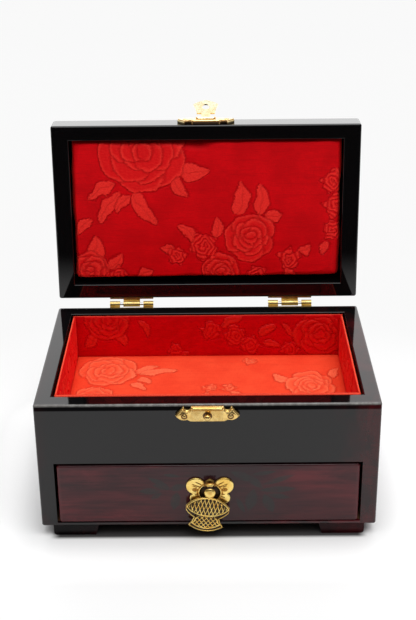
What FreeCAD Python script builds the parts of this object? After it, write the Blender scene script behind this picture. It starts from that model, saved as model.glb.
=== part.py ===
import FreeCAD, Part
import math
import os

# Musical jewelry box: a lacquered wooden case with a hinged, padded lid, a fabric lined
# tray, one drawer and a wind-up comb movement behind the drawer.
# Millimetres. +X right, +Y to the back, +Z up. Modelled with y = 0 on the front face of
# the case and z = 0 on the surface it stands on, and shifted to its origin at the end.
# The lid is modelled closed and then turned open about its hinge axis.

V = FreeCAD.Vector
X_AXIS = V(1, 0, 0)
Y_AXIS = V(0, 1, 0)
Z_AXIS = V(0, 0, 1)
ORIGIN = V(0, 0, 0)

# Case
case_width = 220.0
case_depth = 131.5
case_height = 92.7
wall = 10.5
edge_round = 1.3
corner_round = 1.6
rim_inner_round = 0.7
bottom_board = 2.5
upper_front_height = 43.8
tray_board = 3.0
tray_depth = 33.0

# Feet
foot_height = 8.0
foot_length = 30.0
foot_depth = 26.0
foot_side_inset = 7.5
foot_end_inset = 1.0
foot_slant = 2.2
foot_corner_round = 2.4

# Tray lining, cards covered in fabric
lining_gap = 1.5
lining_card = 2.0
lining_drop = 0.4
tray_pad = 2.5

# Lid
lid_height = 17.5
lid_seam = 0.6
lid_top_board = 4.0
lid_side_rail = 12.2
lid_end_rail = 10.8
lid_pad_recess = 2.6
lid_pad_gap = 0.3
lid_pad_corner = 3.0
lid_pad_edge = 1.5
lid_open_angle = 94.2

# Lid hinges
left_hinge_inset = 53.6
right_hinge_inset = 49.2
hinge_reach = 4.5
hinge_end_knuckle = 7.3
hinge_knuckle_gap = 2.6
hinge_mid_knuckle = 12.2
knuckle_radius = 2.1
hinge_pin_radius = 0.9
hinge_leaf = 1.0
hinge_leaf_height = 12.0
hinge_screw_inset = 5.0
hinge_screw_rise = 6.6
hinge_leaf_round = 1.0

# Clearances
running_gap = 0.05
seat_gap = 0.02
drawer_under_gap = 0.1
drawer_side_gap = 1.5
drawer_top_gap = 2.0
drawer_front_setback = 0.3
box_side_gap = 2.0

# Screws and nails
wood_screw_head = 1.6
wood_screw_head_height = 0.7
wood_screw_shank = 0.7
wood_screw_length = 6.0
nail_head = 1.3
nail_head_height = 0.6
nail_shank = 0.55
nail_length = 7.0

# Latch plates, one stamping on the case and one mirrored on the lid
latch_drop = 0.6
latch_face = 2.2
latch_lip = 3.3
latch_lip_width = 2.0
latch_lip_bend = 0.5
latch_half_flat = 10.2
latch_peak_x = 15.0
latch_notch_radius = 2.4
latch_tip_x = 20.3
latch_tip_drop = 6.1
latch_lobe_x = 16.0
latch_lobe_drop = 9.6
latch_waist_x = 12.8
latch_waist_drop = 9.3
latch_belly_x = 10.6
latch_height = 10.5
latch_nail_x = 14.6
latch_nail_drop = 6.8
latch_dish_radius = 2.9
latch_dish_depth = 0.5
lid_latch_drop = 1.6
peg_radius = 2.0
peg_neck_radius = 1.5
peg_height = 3.6
peg_shank = 8.0
peg_nose_round = 1.6

# Hasp tongue
hasp_axis_rise = 5.7
hasp_roll_radius = 1.3
hasp_roll_length = 11.4
hasp_pin_radius = 0.5
hasp_ear = 1.2
hasp_thickness = 1.1
hasp_neck_half = 3.25
hasp_shoulder = 5.9
hasp_shoulder_half = 6.4
hasp_wide = 15.4
hasp_wide_half = 8.9
hasp_tip = 19.6
hasp_hole_at = 12.7
hasp_hole_radius = 2.8
hasp_open_angle = 150.8
hasp_gap = 0.25
hasp_ear_root = 0.5
hasp_side_hollow = 0.35
hasp_end_bulge = 0.6

# Drawer
drawer_front_board = 10.0
drawer_edge_round = 1.2
drawer_corner_round = 2.0
drawer_side_board = 5.0
drawer_back_board = 5.0
drawer_box_height = 38.0
drawer_floor_board = 2.5
drawer_pad = 1.5
drawer_back_gap = 1.5

# Drawer pull, a butterfly plate with a hanging fish drop
pull_offset = 1.0
pull_axis_drop = 58.1
pull_plate = 1.2
wing_x = 9.2
wing_drop = 60.3
wing_radius = 6.2
lobe_x = 8.8
lobe_drop = 69.6
lobe_radius = 4.3
crest_drop = 54.4
crest_half = 4.2
crest_shoulder_drop = 57.2
crest_foot_drop = 58.2
plate_bottom_drop = 72.2
ring_drop = 65.6
ring_radius = 6.4
pull_ear_half = 2.7
pull_ear = 1.0
pull_ear_root = 0.3
pull_reach = 3.9
pull_back_step = 0.5
pull_pin_radius = 0.5
pull_roll_radius = 1.25
pull_stud_radius = 1.0
pull_stud_length = 7.0
bulb_drop = 65.4
bulb_radius = 3.9
bulb_thickness = 2.2
bulb_round = 1.7
neck_half = 1.9
fish_drop = 77.0
fish_tilt = 4.8
fish_half_length = 14.2
fish_rise = 8.0
fish_fall = 7.4
fish_relief_fall = 5.4
fish_flange = 1.0
fish_border = 0.9
fish_relief = 1.5
tail_neck_half = 7.5
tail_half = 11.6
tail_corner_drop = 12.4
tail_bottom_drop = 16.6
tail_neck_drop = 5.8

# Movement compartment
movement_space = 30.0
partition = 3.0

# Movement: plates
bedplate = 1.5
bedplate_left = 29.0
bedplate_right = 33.0
bedplate_half_height = 19.0
bedplate_screw_inset = 3.2
bridge_plate = 1.2
bridge_setback = 26.5
bridge_border = 3.2
pillar_radius = 1.5
pillar_angle = 58.0
pillar_gap = 1.0
pillar_offset = 2.5
pillar_rise = 13.0
bridge_toe = 4.0
bedplate_corner = 2.5

# Movement: spring barrel, cylinder and governor
barrel_x = -13.0
barrel_rise = 1.0
barrel_radius = 10.8
barrel_wall = 1.0
barrel_hub_radius = 6.5
barrel_gear_teeth = 54
train_module = 0.5
cylinder_pinion_teeth = 20
cylinder_radius = 6.5
cylinder_gear_teeth = 32
fine_module = 0.4
governor_pinion_teeth = 8
governor_angle = -50.0
governor_wheel_teeth = 24
worm_module = 0.35
worm_radius = 1.2
worm_length = 4.4
worm_addendum = 0.8
worm_dedendum = 0.95
worm_root_share = 0.225
worm_tip_share = 0.09
worm_overlap = 0.1
gear_face = 2.0
fine_face = 1.4
level_gap = 0.6
tooth_share = 0.40
tooth_addendum = 0.9
tooth_dedendum = 1.15
tooth_root_share = 1.5
tooth_tip_share = 0.45
pinion_tooth_height = 0.8
worm_tooth_share = 0.30
train_bore_gap = 0.05
cylinder_arbor = 0.75
cylinder_hub = 1.6
governor_hub = 0.9
governor_arbor = 0.5
fly_arbor = 0.5
fly_radius = 4.0
fly_height = 3.0
fly_blade = 0.4
fly_drop = 6.4
fly_hub = 1.0
fly_turn = 35.0
governor_ear = 1.2
governor_ear_margin = 1.4
governor_ear_half = 1.8
governor_plate_gap = 0.3
winding_arbor = 2.0
spring_strip = 0.25
spring_turns = 8
spring_steps = 16
spring_inner_gap = 0.5
spring_outer_gap = 0.1
spring_side_gap = 0.4
pin_radius = 0.2
pin_height = 0.6
pin_root = 0.3
pin_rows = 4
pin_step = 5
pin_start = 10.0
tune_notes = 18
note_pitch = 0.9

# Movement: comb
comb_thickness = 1.0
comb_tip_gap = 0.25
comb_length = 18.0
comb_base = 7.0
comb_block_height = 3.5
comb_block_step = 0.5
comb_slot = 0.25
comb_slot_step = 0.12
comb_screw_inset = 3.2
comb_screw_head = 1.7
comb_screw_shank = 1.0
comb_screw_length = 4.0
comb_screw_head_height = 1.0

# Movement: key and stop plunger
key_hole_radius = 5.0
key_stand_off = 2.5
key_hub_radius = 3.6
key_hub_length = 7.0
key_wing_half = 11.0
key_wing_gap = 1.0
key_wing_root = 4.2
key_wing_round = 5.4
key_wing_length = 12.0
key_wing_thickness = 1.8
plunger_radius = 1.0
plunger_gap = 0.3
plunger_fly_gap = 0.5
plunger_nose_round = 0.6
plunger_guide_back = 14.0

# Sizes that follow from the ones above
notch_x = (latch_half_flat + latch_peak_x) / 2
half_width = case_width / 2
inner_half = half_width - wall
case_bottom = foot_height
rim = case_bottom + case_height
opening_bottom = case_bottom + bottom_board
opening_top = rim - upper_front_height
tray_top = rim - tray_depth - tray_pad
tray_under = tray_top - tray_board
inner_front = wall
inner_back = case_depth - wall
lining_half = inner_half - lining_gap
lining_front = inner_front + lining_gap
lining_back = inner_back - lining_gap
lid_bottom = rim + lid_seam
lid_top = lid_bottom + lid_height
hinge_y = case_depth + hinge_reach
hinge_z = rim + lid_seam / 2
hinge_width = 2 * hinge_end_knuckle + 2 * hinge_knuckle_gap + hinge_mid_knuckle
hinge_centres = [-half_width + left_hinge_inset, half_width - right_hinge_inset]
hasp_y = -(latch_face + hasp_roll_radius + 0.1)
hasp_z = rim + hasp_axis_rise
peg_z = hasp_z - hasp_hole_at
partition_back = inner_back - movement_space
partition_front = partition_back - partition
drawer_rear = partition_front - drawer_back_gap
drawer_face = drawer_front_setback
drawer_half = inner_half - drawer_side_gap
drawer_bottom = opening_bottom + drawer_under_gap
drawer_front_top = opening_top - drawer_top_gap
drawer_front_back = drawer_face + drawer_front_board
box_half = inner_half - box_side_gap
box_top = drawer_bottom + drawer_box_height
pull_y = drawer_face - pull_reach
pull_z = rim - pull_axis_drop
plate_face = drawer_face - pull_plate
key_z = (opening_bottom + tray_under) / 2


def box(x0, x1, y0, y1, z0, z1):
    """A block from its low and high sides."""
    return Part.makeBox(x1 - x0, y1 - y0, z1 - z0, V(x0, y0, z0))


def rod(start, direction, radius, length):
    """A round bar from its start along a direction."""
    return Part.makeCylinder(radius, length, start, direction)


def joined(shapes):
    """One solid from several that meet."""
    whole = shapes[0].multiFuse(shapes[1:])
    return whole.removeSplitter()


def front_face(points, y):
    """A face on the plane at y. A point is (x, z), or (x, z, xm, zm) for an arc to it."""
    edges = []
    last = points[-1]
    here = V(last[0], y, last[1])
    for point in points:
        there = V(point[0], y, point[1])
        if len(point) == 4:
            edges.append(Part.Arc(here, V(point[2], y, point[3]), there).toShape())
        else:
            edges.append(Part.LineSegment(here, there).toShape())
        here = there
    return Part.Face(Part.Wire(edges))


def front_plate(points, y_front, thickness):
    """A plate parallel to the front of the case, from its front side back."""
    return front_face(points, y_front).extrude(V(0, thickness, 0))


def mirrored_outline(half):
    """A closed outline from its right half, which runs from the top centre to the bottom."""
    points = list(half)
    for index in range(len(half) - 1, 0, -1):
        target = half[index - 1]
        arc = half[index]
        if len(arc) == 4:
            points.append((-target[0], target[1], -arc[2], arc[3]))
        else:
            points.append((-target[0], target[1]))
    if abs(half[-1][0]) > 1e-6:
        points.insert(len(half), (-half[-1][0], half[-1][1]))
    if abs(half[0][0]) < 1e-6:
        points.pop()
    return points


def edges_where(shape, test):
    """The straight edges whose two ends both pass a test."""
    chosen = []
    for edge in shape.Edges:
        ends = [vertex.Point for vertex in edge.Vertexes]
        if len(ends) == 2 and all(test(p) for p in ends):
            chosen.append(edge)
    return chosen


def near(a, b):
    return abs(a - b) < 1e-4


def rounded_block(x0, x1, y0, y1, z0, z1, upright, level):
    """A block with its upright corners and its top and bottom edges rounded."""
    block = box(x0, x1, y0, y1, z0, z1)
    uprights = [e for e in block.Edges if near(e.BoundBox.ZLength, z1 - z0)]
    block = block.makeFillet(upright, uprights)
    for z in (z0, z1):
        loop = [e for e in block.Edges if near(e.BoundBox.ZMin, z) and near(e.BoundBox.ZMax, z)]
        block = block.makeFillet(level, loop)
    return block


def fastener(seat, into, head, head_height, shank, length):
    """A domed screw or nail. It points from its seat into what it holds."""
    sphere_radius = (head * head + head_height * head_height) / (2 * head_height)
    half_turn = math.asin(head / sphere_radius) / 2
    dome_x = sphere_radius * math.sin(half_turn)
    dome_z = sphere_radius * math.cos(half_turn) - (sphere_radius - head_height)
    dome = Part.Arc(V(0, 0, head_height), V(dome_x, 0, dome_z), V(head, 0, 0)).toShape()
    corners = [V(head, 0, 0), V(shank, 0, 0), V(shank, 0, -length), V(0, 0, -length), V(0, 0, head_height)]
    sides = [Part.LineSegment(a, b).toShape() for a, b in zip(corners, corners[1:])]
    profile = Part.Face(Part.Wire([dome] + sides))
    solid = profile.revolve(ORIGIN, Z_AXIS, 360)
    solid.Placement = FreeCAD.Placement(seat, FreeCAD.Rotation(Z_AXIS, into * -1))
    return solid


def pilot(seat, into, shank, length):
    """The hole that a fastener's shank sits in."""
    return rod(seat - into, into, shank + seat_gap, length + 1 + seat_gap)


def wood_screws(seats, into):
    size = (wood_screw_head, wood_screw_head_height, wood_screw_shank, wood_screw_length)
    return Part.makeCompound([fastener(seat, into, *size) for seat in seats])


def plate_nails(seats):
    size = (nail_head, nail_head_height, nail_shank, nail_length)
    return Part.makeCompound([fastener(seat, Y_AXIS, *size) for seat in seats])


def gear(x, z, y, face, teeth, module, phase, share=tooth_share, height=1.0):
    """A spur gear about an axis along Y with straight flanks. Phase turns it in teeth."""
    pitch_radius = teeth * module / 2
    tip = pitch_radius + module * tooth_addendum * height
    root = pitch_radius - module * tooth_dedendum * height
    half_pitch = math.pi / teeth
    half_tooth = half_pitch * share
    half_root = half_tooth * tooth_root_share
    half_tip = half_tooth * tooth_tip_share
    points = []
    for tooth in range(teeth):
        middle = 2 * half_pitch * (tooth + phase)
        for turn, radius in ((-half_root, root), (-half_tip, tip), (half_tip, tip), (half_root, root)):
            angle = middle + turn
            points.append((x + radius * math.cos(angle), z + radius * math.sin(angle)))
    return front_plate(points, y, face)


def make_case_shell():
    """The case as one rounded block with its inside taken out, before it is cut to boards."""
    block = box(-half_width, half_width, 0, case_depth, case_bottom, rim)
    uprights = [e for e in block.Edges if near(e.BoundBox.ZLength, case_height)]
    block = block.makeFillet(corner_round, uprights)
    for z in (case_bottom, rim):
        loop = [e for e in block.Edges if near(e.BoundBox.ZMin, z) and near(e.BoundBox.ZMax, z)]
        block = block.makeFillet(edge_round, loop)
    inside = box(-inner_half, inner_half, inner_front, inner_back, case_bottom - 1, rim + 1)
    return round_inner_rim(block.cut(inside), rim, inner_half, inner_front, inner_back)


def round_inner_rim(frame, z, half, y0, y1):
    """Rounds the inner edges of a frame, before it is cut to boards, so that their faces stay flush."""
    test = lambda p: near(p.z, z) and abs(p.x) < half + 0.1 and y0 - 0.1 < p.y < y1 + 0.1
    return frame.makeFillet(rim_inner_round, edges_where(frame, test))


def key_point(y):
    return V(barrel_x, y, key_z + barrel_rise)


def hinge_screw_points(height_from_axis):
    """Two screws for each leaf, at x places along it."""
    points = []
    for centre in hinge_centres:
        for side in (-1, 1):
            x = centre + side * (hinge_width / 2 - hinge_screw_inset)
            points.append(V(x, case_depth + hinge_leaf, hinge_z + height_from_axis))
    return points


leaf_screw_rise = knuckle_radius + hinge_screw_rise
body_hinge_seats = hinge_screw_points(-leaf_screw_rise)
lid_hinge_seats = hinge_screw_points(leaf_screw_rise)
strike_top = rim - latch_drop
lid_latch_bottom = lid_bottom + lid_latch_drop
latch_nail_z = strike_top - latch_nail_drop
lid_nail_z = lid_latch_bottom + latch_nail_drop
latch_nail_seats = [V(side * latch_nail_x, -latch_face, latch_nail_z) for side in (-1, 1)]
lid_nail_seats = [V(side * latch_nail_x, -latch_face, lid_nail_z) for side in (-1, 1)]
bedplate_front = inner_back - bedplate


def bedplate_screw_seats():
    seats = []
    for x in (-bedplate_left + bedplate_screw_inset, bedplate_right - bedplate_screw_inset):
        for side in (-1, 1):
            z = key_z + side * (bedplate_half_height - bedplate_screw_inset)
            seats.append(V(x, bedplate_front, z))
    return seats


def make_case():
    """The boards of the case, each cut from one shell so that their outsides run on."""
    shell = make_case_shell()
    parts = {}
    for name, side in (("left_side_panel", -1), ("right_side_panel", 1)):
        low, high = sorted((side * inner_half, side * (half_width + 1)))
        parts[name] = shell.common(box(low, high, -1, case_depth + 1, case_bottom - 1, rim + 1))
    front = shell.common(box(-inner_half, inner_half, -1, inner_front, opening_top, rim + 1))
    for seat in latch_nail_seats:
        front = front.cut(pilot(V(seat.x, 0, seat.z), Y_AXIS, nail_shank, nail_length - latch_face))
    front = front.cut(pilot(V(0, 0, peg_z), Y_AXIS, peg_neck_radius, peg_shank - latch_face))
    parts["front_panel"] = front
    back = shell.common(box(-inner_half, inner_half, inner_back, case_depth + 1, case_bottom - 1, rim + 1))
    back = back.cut(rod(key_point(inner_back - 1), Y_AXIS, key_hole_radius, wall + 2))
    for seat in body_hinge_seats:
        mouth = V(seat.x, case_depth, seat.z)
        back = back.cut(pilot(mouth, Y_AXIS * -1, wood_screw_shank, wood_screw_length - hinge_leaf))
    for seat in bedplate_screw_seats():
        mouth = V(seat.x, inner_back, seat.z)
        back = back.cut(pilot(mouth, Y_AXIS, wood_screw_shank, wood_screw_length - bedplate))
    parts["back_panel"] = back
    floor_block = box(-inner_half, inner_half, 0, inner_back, case_bottom, opening_bottom)
    front_edge = edges_where(floor_block, lambda p: near(p.y, 0) and near(p.z, case_bottom))
    parts["bottom_panel"] = floor_block.makeFillet(edge_round, front_edge)
    parts["tray_floor_panel"] = box(-inner_half, inner_half, inner_front, inner_back, tray_under, tray_top)
    divider = box(-inner_half, inner_half, partition_front, partition_back, opening_bottom, tray_under)
    guide = rod(plunger_point(partition_front - 1), Y_AXIS, plunger_radius + running_gap, partition + 2)
    parts["movement_partition"] = divider.cut(guide)
    return parts


def make_foot(side, end):
    """A low bracket foot with a slanted inner end and a rounded outer corner."""
    outer = half_width - foot_side_inset
    inner = outer - foot_length
    outline = [
        (side * outer, case_bottom),
        (side * inner, case_bottom),
        (side * (inner + foot_slant), 0),
        (side * (outer - foot_corner_round), 0),
        (
            side * outer,
            foot_corner_round,
            side * (outer - foot_corner_round * (1 - math.sqrt(0.5))),
            foot_corner_round * (1 - math.sqrt(0.5)),
        ),
    ]
    if end == "front":
        start = foot_end_inset
    else:
        start = case_depth - foot_end_inset - foot_depth
    return front_plate(outline, start, foot_depth)


def make_feet():
    parts = {}
    for end in ("front", "rear"):
        for name, side in (("left", -1), ("right", 1)):
            parts[end + "_" + name + "_foot"] = make_foot(side, end)
    return parts


def make_tray_lining():
    """Four covered cards that stand on the tray floor, and the pad between them."""
    top = rim - lining_drop
    inner = lining_half - lining_card
    card_front = lining_front + lining_card
    card_back = lining_back - lining_card
    return {
        "tray_lining_front": box(-lining_half, lining_half, lining_front, card_front, tray_top, top),
        "tray_lining_back": box(-lining_half, lining_half, card_back, lining_back, tray_top, top),
        "tray_lining_left": box(-lining_half, -inner, card_front, card_back, tray_top, top),
        "tray_lining_right": box(inner, lining_half, card_front, card_back, tray_top, top),
        "tray_floor_pad": box(-inner, inner, card_front, card_back, tray_top, tray_top + tray_pad),
    }


def latch_outline(top, sign):
    """The outline of a latch plate from its flat edge at the seam. Sign is -1 going down."""
    lobe_z = top + sign * latch_lobe_drop
    half = [
        (0, top),
        (latch_half_flat, top),
        (latch_peak_x, top, notch_x, top + sign * latch_notch_radius),
        (latch_tip_x, top + sign * latch_tip_drop),
        (latch_waist_x, top + sign * latch_waist_drop, latch_lobe_x, lobe_z),
        (latch_belly_x, top + sign * latch_height),
        (0, top + sign * latch_height),
    ]
    return mirrored_outline(half)


def latch_plate(top, sign):
    """A stamped plate, thick at its lip along the seam, with a nail hole near each tip."""
    outline = latch_outline(top, sign)
    base = front_plate(outline, -latch_face, latch_face)
    ridge = front_plate(outline, -latch_lip, latch_lip)
    far = top + sign * latch_lip_width
    half = [
        (0, top - sign),
        (latch_tip_x + 1, top - sign),
        (latch_tip_x + 1, top + sign * latch_tip_drop),
        (latch_peak_x, far + sign * latch_lip_bend),
        (notch_x, top + sign * (latch_notch_radius + latch_lip_bend * 2)),
        (latch_half_flat - latch_lip_bend * 2, far),
        (0, far),
    ]
    keep = front_plate(mirrored_outline(half), -latch_lip - 1, latch_lip + 2)
    return joined([base, ridge.common(keep)])


def cut_nail_holes(plate, seats):
    for seat in seats:
        plate = plate.cut(rod(seat - Y_AXIS * 2, Y_AXIS, nail_shank + seat_gap, latch_face + 4))
    return plate


def make_strike():
    """The latch plate on the case, with the peg that the hasp drops over, and its nails."""
    plate = cut_nail_holes(latch_plate(strike_top, -1), latch_nail_seats)
    peg_base = V(0, -latch_face + latch_dish_depth, peg_z)
    plate = plate.cut(rod(peg_base, Y_AXIS * -1, latch_dish_radius, latch_lip + 1))
    plate = plate.cut(rod(peg_base, Y_AXIS, peg_neck_radius + seat_gap, latch_face + 1))
    seat = V(0, peg_base.y, peg_z)
    head = rod(seat, Y_AXIS * -1, peg_radius, peg_height + latch_dish_depth)
    head = head.makeFillet(peg_nose_round, [e for e in head.Edges if e.BoundBox.YMax < seat.y - 1])
    shank_length = peg_shank - latch_dish_depth
    peg = joined([head, rod(seat, Y_AXIS, peg_neck_radius, shank_length)])
    return {
        "strike_plate": plate,
        "strike_peg": peg,
        "strike_nails": plate_nails(latch_nail_seats),
    }


def hinge_leaf_plate(centre, upward):
    """One flat leaf on the back of the case or the lid, without its knuckles."""
    near_edge = hinge_z + upward * (knuckle_radius - hinge_leaf)
    far_edge = hinge_z + upward * (knuckle_radius + hinge_leaf_height)
    z0, z1 = sorted((near_edge, far_edge))
    half = hinge_width / 2
    leaf = box(centre - half, centre + half, case_depth, case_depth + hinge_leaf, z0, z1)
    far_corners = [
        e for e in leaf.Edges
        if near(e.BoundBox.YLength, hinge_leaf) and near(e.BoundBox.ZMin, far_edge)
    ]
    return leaf.makeFillet(hinge_leaf_round, far_corners)


def hinge_neck(x0, x1, upward):
    """The strip that carries a knuckle from its leaf, level with the knuckle's side."""
    outer = hinge_z + upward * knuckle_radius
    inner = hinge_z + upward * (knuckle_radius - hinge_leaf)
    z0, z1 = sorted((outer, inner))
    neck = box(x0, x1, case_depth, hinge_y, z0, z1)
    return joined([neck, rod(V(x0, hinge_y, hinge_z), X_AXIS, knuckle_radius, x1 - x0)])


def make_hinges():
    """Leaves, pins and screws of the two lid hinges, all as they are with the lid closed."""
    fixed = {}
    moving = {}
    pins = []
    for name, centre in zip(("left", "right"), hinge_centres):
        half = hinge_width / 2
        body_leaf = hinge_leaf_plate(centre, -1)
        pieces = [body_leaf]
        pieces.append(hinge_neck(centre - half, centre - half + hinge_end_knuckle, -1))
        pieces.append(hinge_neck(centre + half - hinge_end_knuckle, centre + half, -1))
        body_leaf = joined(pieces)
        middle = hinge_mid_knuckle / 2
        lid_leaf = joined([hinge_leaf_plate(centre, 1), hinge_neck(centre - middle, centre + middle, 1)])
        start = V(centre - half - 1, hinge_y, hinge_z)
        body_leaf = body_leaf.cut(rod(start, X_AXIS, hinge_pin_radius + seat_gap, hinge_width + 2))
        lid_leaf = lid_leaf.cut(rod(start, X_AXIS, hinge_pin_radius + running_gap, hinge_width + 2))
        for seat in body_hinge_seats:
            body_leaf = body_leaf.cut(rod(seat + Y_AXIS, Y_AXIS * -1, wood_screw_shank + seat_gap, 3))
        for seat in lid_hinge_seats:
            lid_leaf = lid_leaf.cut(rod(seat + Y_AXIS, Y_AXIS * -1, wood_screw_shank + seat_gap, 3))
        fixed[name + "_hinge_case_leaf"] = body_leaf
        moving[name + "_hinge_lid_leaf"] = lid_leaf
        pins.append(rod(V(centre - half, hinge_y, hinge_z), X_AXIS, hinge_pin_radius, hinge_width))
    inward = Y_AXIS * -1
    fixed["hinge_pins"] = Part.makeCompound(pins)
    fixed["case_hinge_screws"] = wood_screws(body_hinge_seats, inward)
    moving["lid_hinge_screws"] = wood_screws(lid_hinge_seats, inward)
    return fixed, moving


def make_lid():
    """Four rails and a top board cut from one rounded block, and the padded panel inside."""
    block = box(-half_width, half_width, 0, case_depth, lid_bottom, lid_top)
    uprights = [e for e in block.Edges if near(e.BoundBox.ZLength, lid_height)]
    block = block.makeFillet(corner_round, uprights)
    for z in (lid_bottom, lid_top):
        loop = [e for e in block.Edges if near(e.BoundBox.ZMin, z) and near(e.BoundBox.ZMax, z)]
        block = block.makeFillet(edge_round, loop)
    rail_top = lid_top - lid_top_board
    inner = half_width - lid_side_rail
    front_in = lid_end_rail
    back_in = case_depth - lid_end_rail
    parts = {}
    parts["lid_top_panel"] = block.common(box(-half_width, half_width, 0, case_depth, rail_top, lid_top))
    frame = block.cut(box(-inner, inner, front_in, back_in, lid_bottom - 1, lid_top + 1))
    frame = round_inner_rim(frame, lid_bottom, inner, front_in, back_in)
    low, high = lid_bottom, rail_top
    sides = {
        "lid_left_rail": box(-half_width, -inner, 0, case_depth, low, high),
        "lid_right_rail": box(inner, half_width, 0, case_depth, low, high),
        "lid_front_rail": box(-inner, inner, 0, front_in, low, high),
        "lid_back_rail": box(-inner, inner, back_in, case_depth, low, high),
    }
    for name, region in sides.items():
        parts[name] = frame.common(region)
    for seat in lid_nail_seats:
        hole = pilot(V(seat.x, 0, seat.z), Y_AXIS, nail_shank, nail_length - latch_face)
        parts["lid_front_rail"] = parts["lid_front_rail"].cut(hole)
    for seat in lid_hinge_seats:
        mouth = V(seat.x, case_depth, seat.z)
        hole = pilot(mouth, Y_AXIS * -1, wood_screw_shank, wood_screw_length - hinge_leaf)
        parts["lid_back_rail"] = parts["lid_back_rail"].cut(hole)
    pad = rounded_block(
        -inner + lid_pad_gap,
        inner - lid_pad_gap,
        front_in + lid_pad_gap,
        back_in - lid_pad_gap,
        lid_bottom + lid_pad_recess,
        rail_top,
        lid_pad_corner,
        lid_pad_edge,
    )
    parts["lid_pad"] = pad
    return parts


def make_hasp_plate():
    """The latch plate on the lid, the same stamping turned over, with ears for the hasp pin."""
    plate = cut_nail_holes(latch_plate(lid_latch_bottom, 1), lid_nail_seats)
    ears = []
    ear_in = hasp_roll_length / 2 + running_gap
    for side in (-1, 1):
        x0, x1 = sorted((side * ear_in, side * (ear_in + hasp_ear)))
        root = -latch_face + hasp_ear_root
        ears.append(box(x0, x1, hasp_y, root, hasp_z - hasp_roll_radius, hasp_z + hasp_roll_radius))
        ears.append(rod(V(x0, hasp_y, hasp_z), X_AXIS, hasp_roll_radius, hasp_ear))
    relief = rod(V(-ear_in, hasp_y, hasp_z), X_AXIS, hasp_roll_radius + hasp_gap, 2 * ear_in)
    tongue_slot = box(
        -hasp_neck_half - hasp_gap,
        hasp_neck_half + hasp_gap,
        -latch_lip - 1,
        -latch_face,
        lid_latch_bottom - 1,
        hasp_z,
    )
    plate = joined([plate.cut(relief)] + ears)
    plate = plate.cut(rod(V(-ear_in * 2, hasp_y, hasp_z), X_AXIS, hasp_pin_radius + seat_gap, ear_in * 4))
    pin = rod(V(-ear_in - hasp_ear, hasp_y, hasp_z), X_AXIS, hasp_pin_radius, 2 * (ear_in + hasp_ear))
    return {
        "hasp_plate": plate.cut(tongue_slot),
        "hasp_pin": pin,
        "hasp_nails": plate_nails(lid_nail_seats),
    }


def make_hasp_tongue():
    """The swinging hasp with its roll and the hole for the peg, as it hangs when shut."""
    z = hasp_z
    half = [
        (0, z),
        (hasp_neck_half, z),
        (hasp_neck_half, z - hasp_shoulder),
        (hasp_shoulder_half, z - hasp_shoulder),
        (
            hasp_wide_half,
            z - hasp_wide,
            (hasp_shoulder_half + hasp_wide_half) / 2 - hasp_side_hollow,
            z - (hasp_shoulder + hasp_wide) / 2,
        ),
        (0, z - hasp_tip, hasp_wide_half / 2, z - (hasp_wide + hasp_tip) / 2 - hasp_end_bulge),
    ]
    y_front = hasp_y - hasp_roll_radius
    blade = front_plate(mirrored_outline(half), y_front, hasp_thickness)
    hole = rod(V(0, y_front - 1, z - hasp_hole_at), Y_AXIS, hasp_hole_radius, hasp_thickness + 2)
    blade = blade.cut(hole)
    start = -hasp_roll_length / 2
    roll = rod(V(start, hasp_y, z), X_AXIS, hasp_roll_radius, hasp_roll_length)
    tongue = joined([blade, roll])
    bore_start = V(start - 1, hasp_y, z)
    return tongue.cut(rod(bore_start, X_AXIS, hasp_pin_radius + running_gap, hasp_roll_length + 2))


def make_drawer():
    """The drawer: its front, box boards, floor and pad."""
    front = box(-drawer_half, drawer_half, drawer_face, drawer_front_back, drawer_bottom, drawer_front_top)
    uprights = [e for e in front.Edges if near(e.BoundBox.YLength, drawer_front_board)]
    front = front.makeFillet(drawer_corner_round, uprights)
    face_loop = [e for e in front.Edges if near(e.BoundBox.YMax, drawer_face)]
    front = front.makeFillet(drawer_edge_round, face_loop)
    for side in (-1, 1):
        seat = V(pull_offset + side * wing_x, drawer_face - 1, rim - wing_drop)
        front = front.cut(rod(seat, Y_AXIS, pull_stud_radius + seat_gap, pull_stud_length + 1 + seat_gap))
    inner = box_half - drawer_side_board
    floor_top = drawer_bottom + drawer_floor_board
    back_start = drawer_rear - drawer_back_board
    low = drawer_bottom
    return {
        "drawer_front": front,
        "drawer_left_side": box(-box_half, -inner, drawer_front_back, drawer_rear, low, box_top),
        "drawer_right_side": box(inner, box_half, drawer_front_back, drawer_rear, low, box_top),
        "drawer_back": box(-inner, inner, back_start, drawer_rear, low, box_top),
        "drawer_floor": box(-inner, inner, drawer_front_back, back_start, low, floor_top),
        "drawer_pad": box(-inner, inner, drawer_front_back, back_start, floor_top, floor_top + drawer_pad),
    }


def disc(x, drop, radius, y, thickness):
    return rod(V(x, y, rim - drop), Y_AXIS, radius, thickness)


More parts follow.
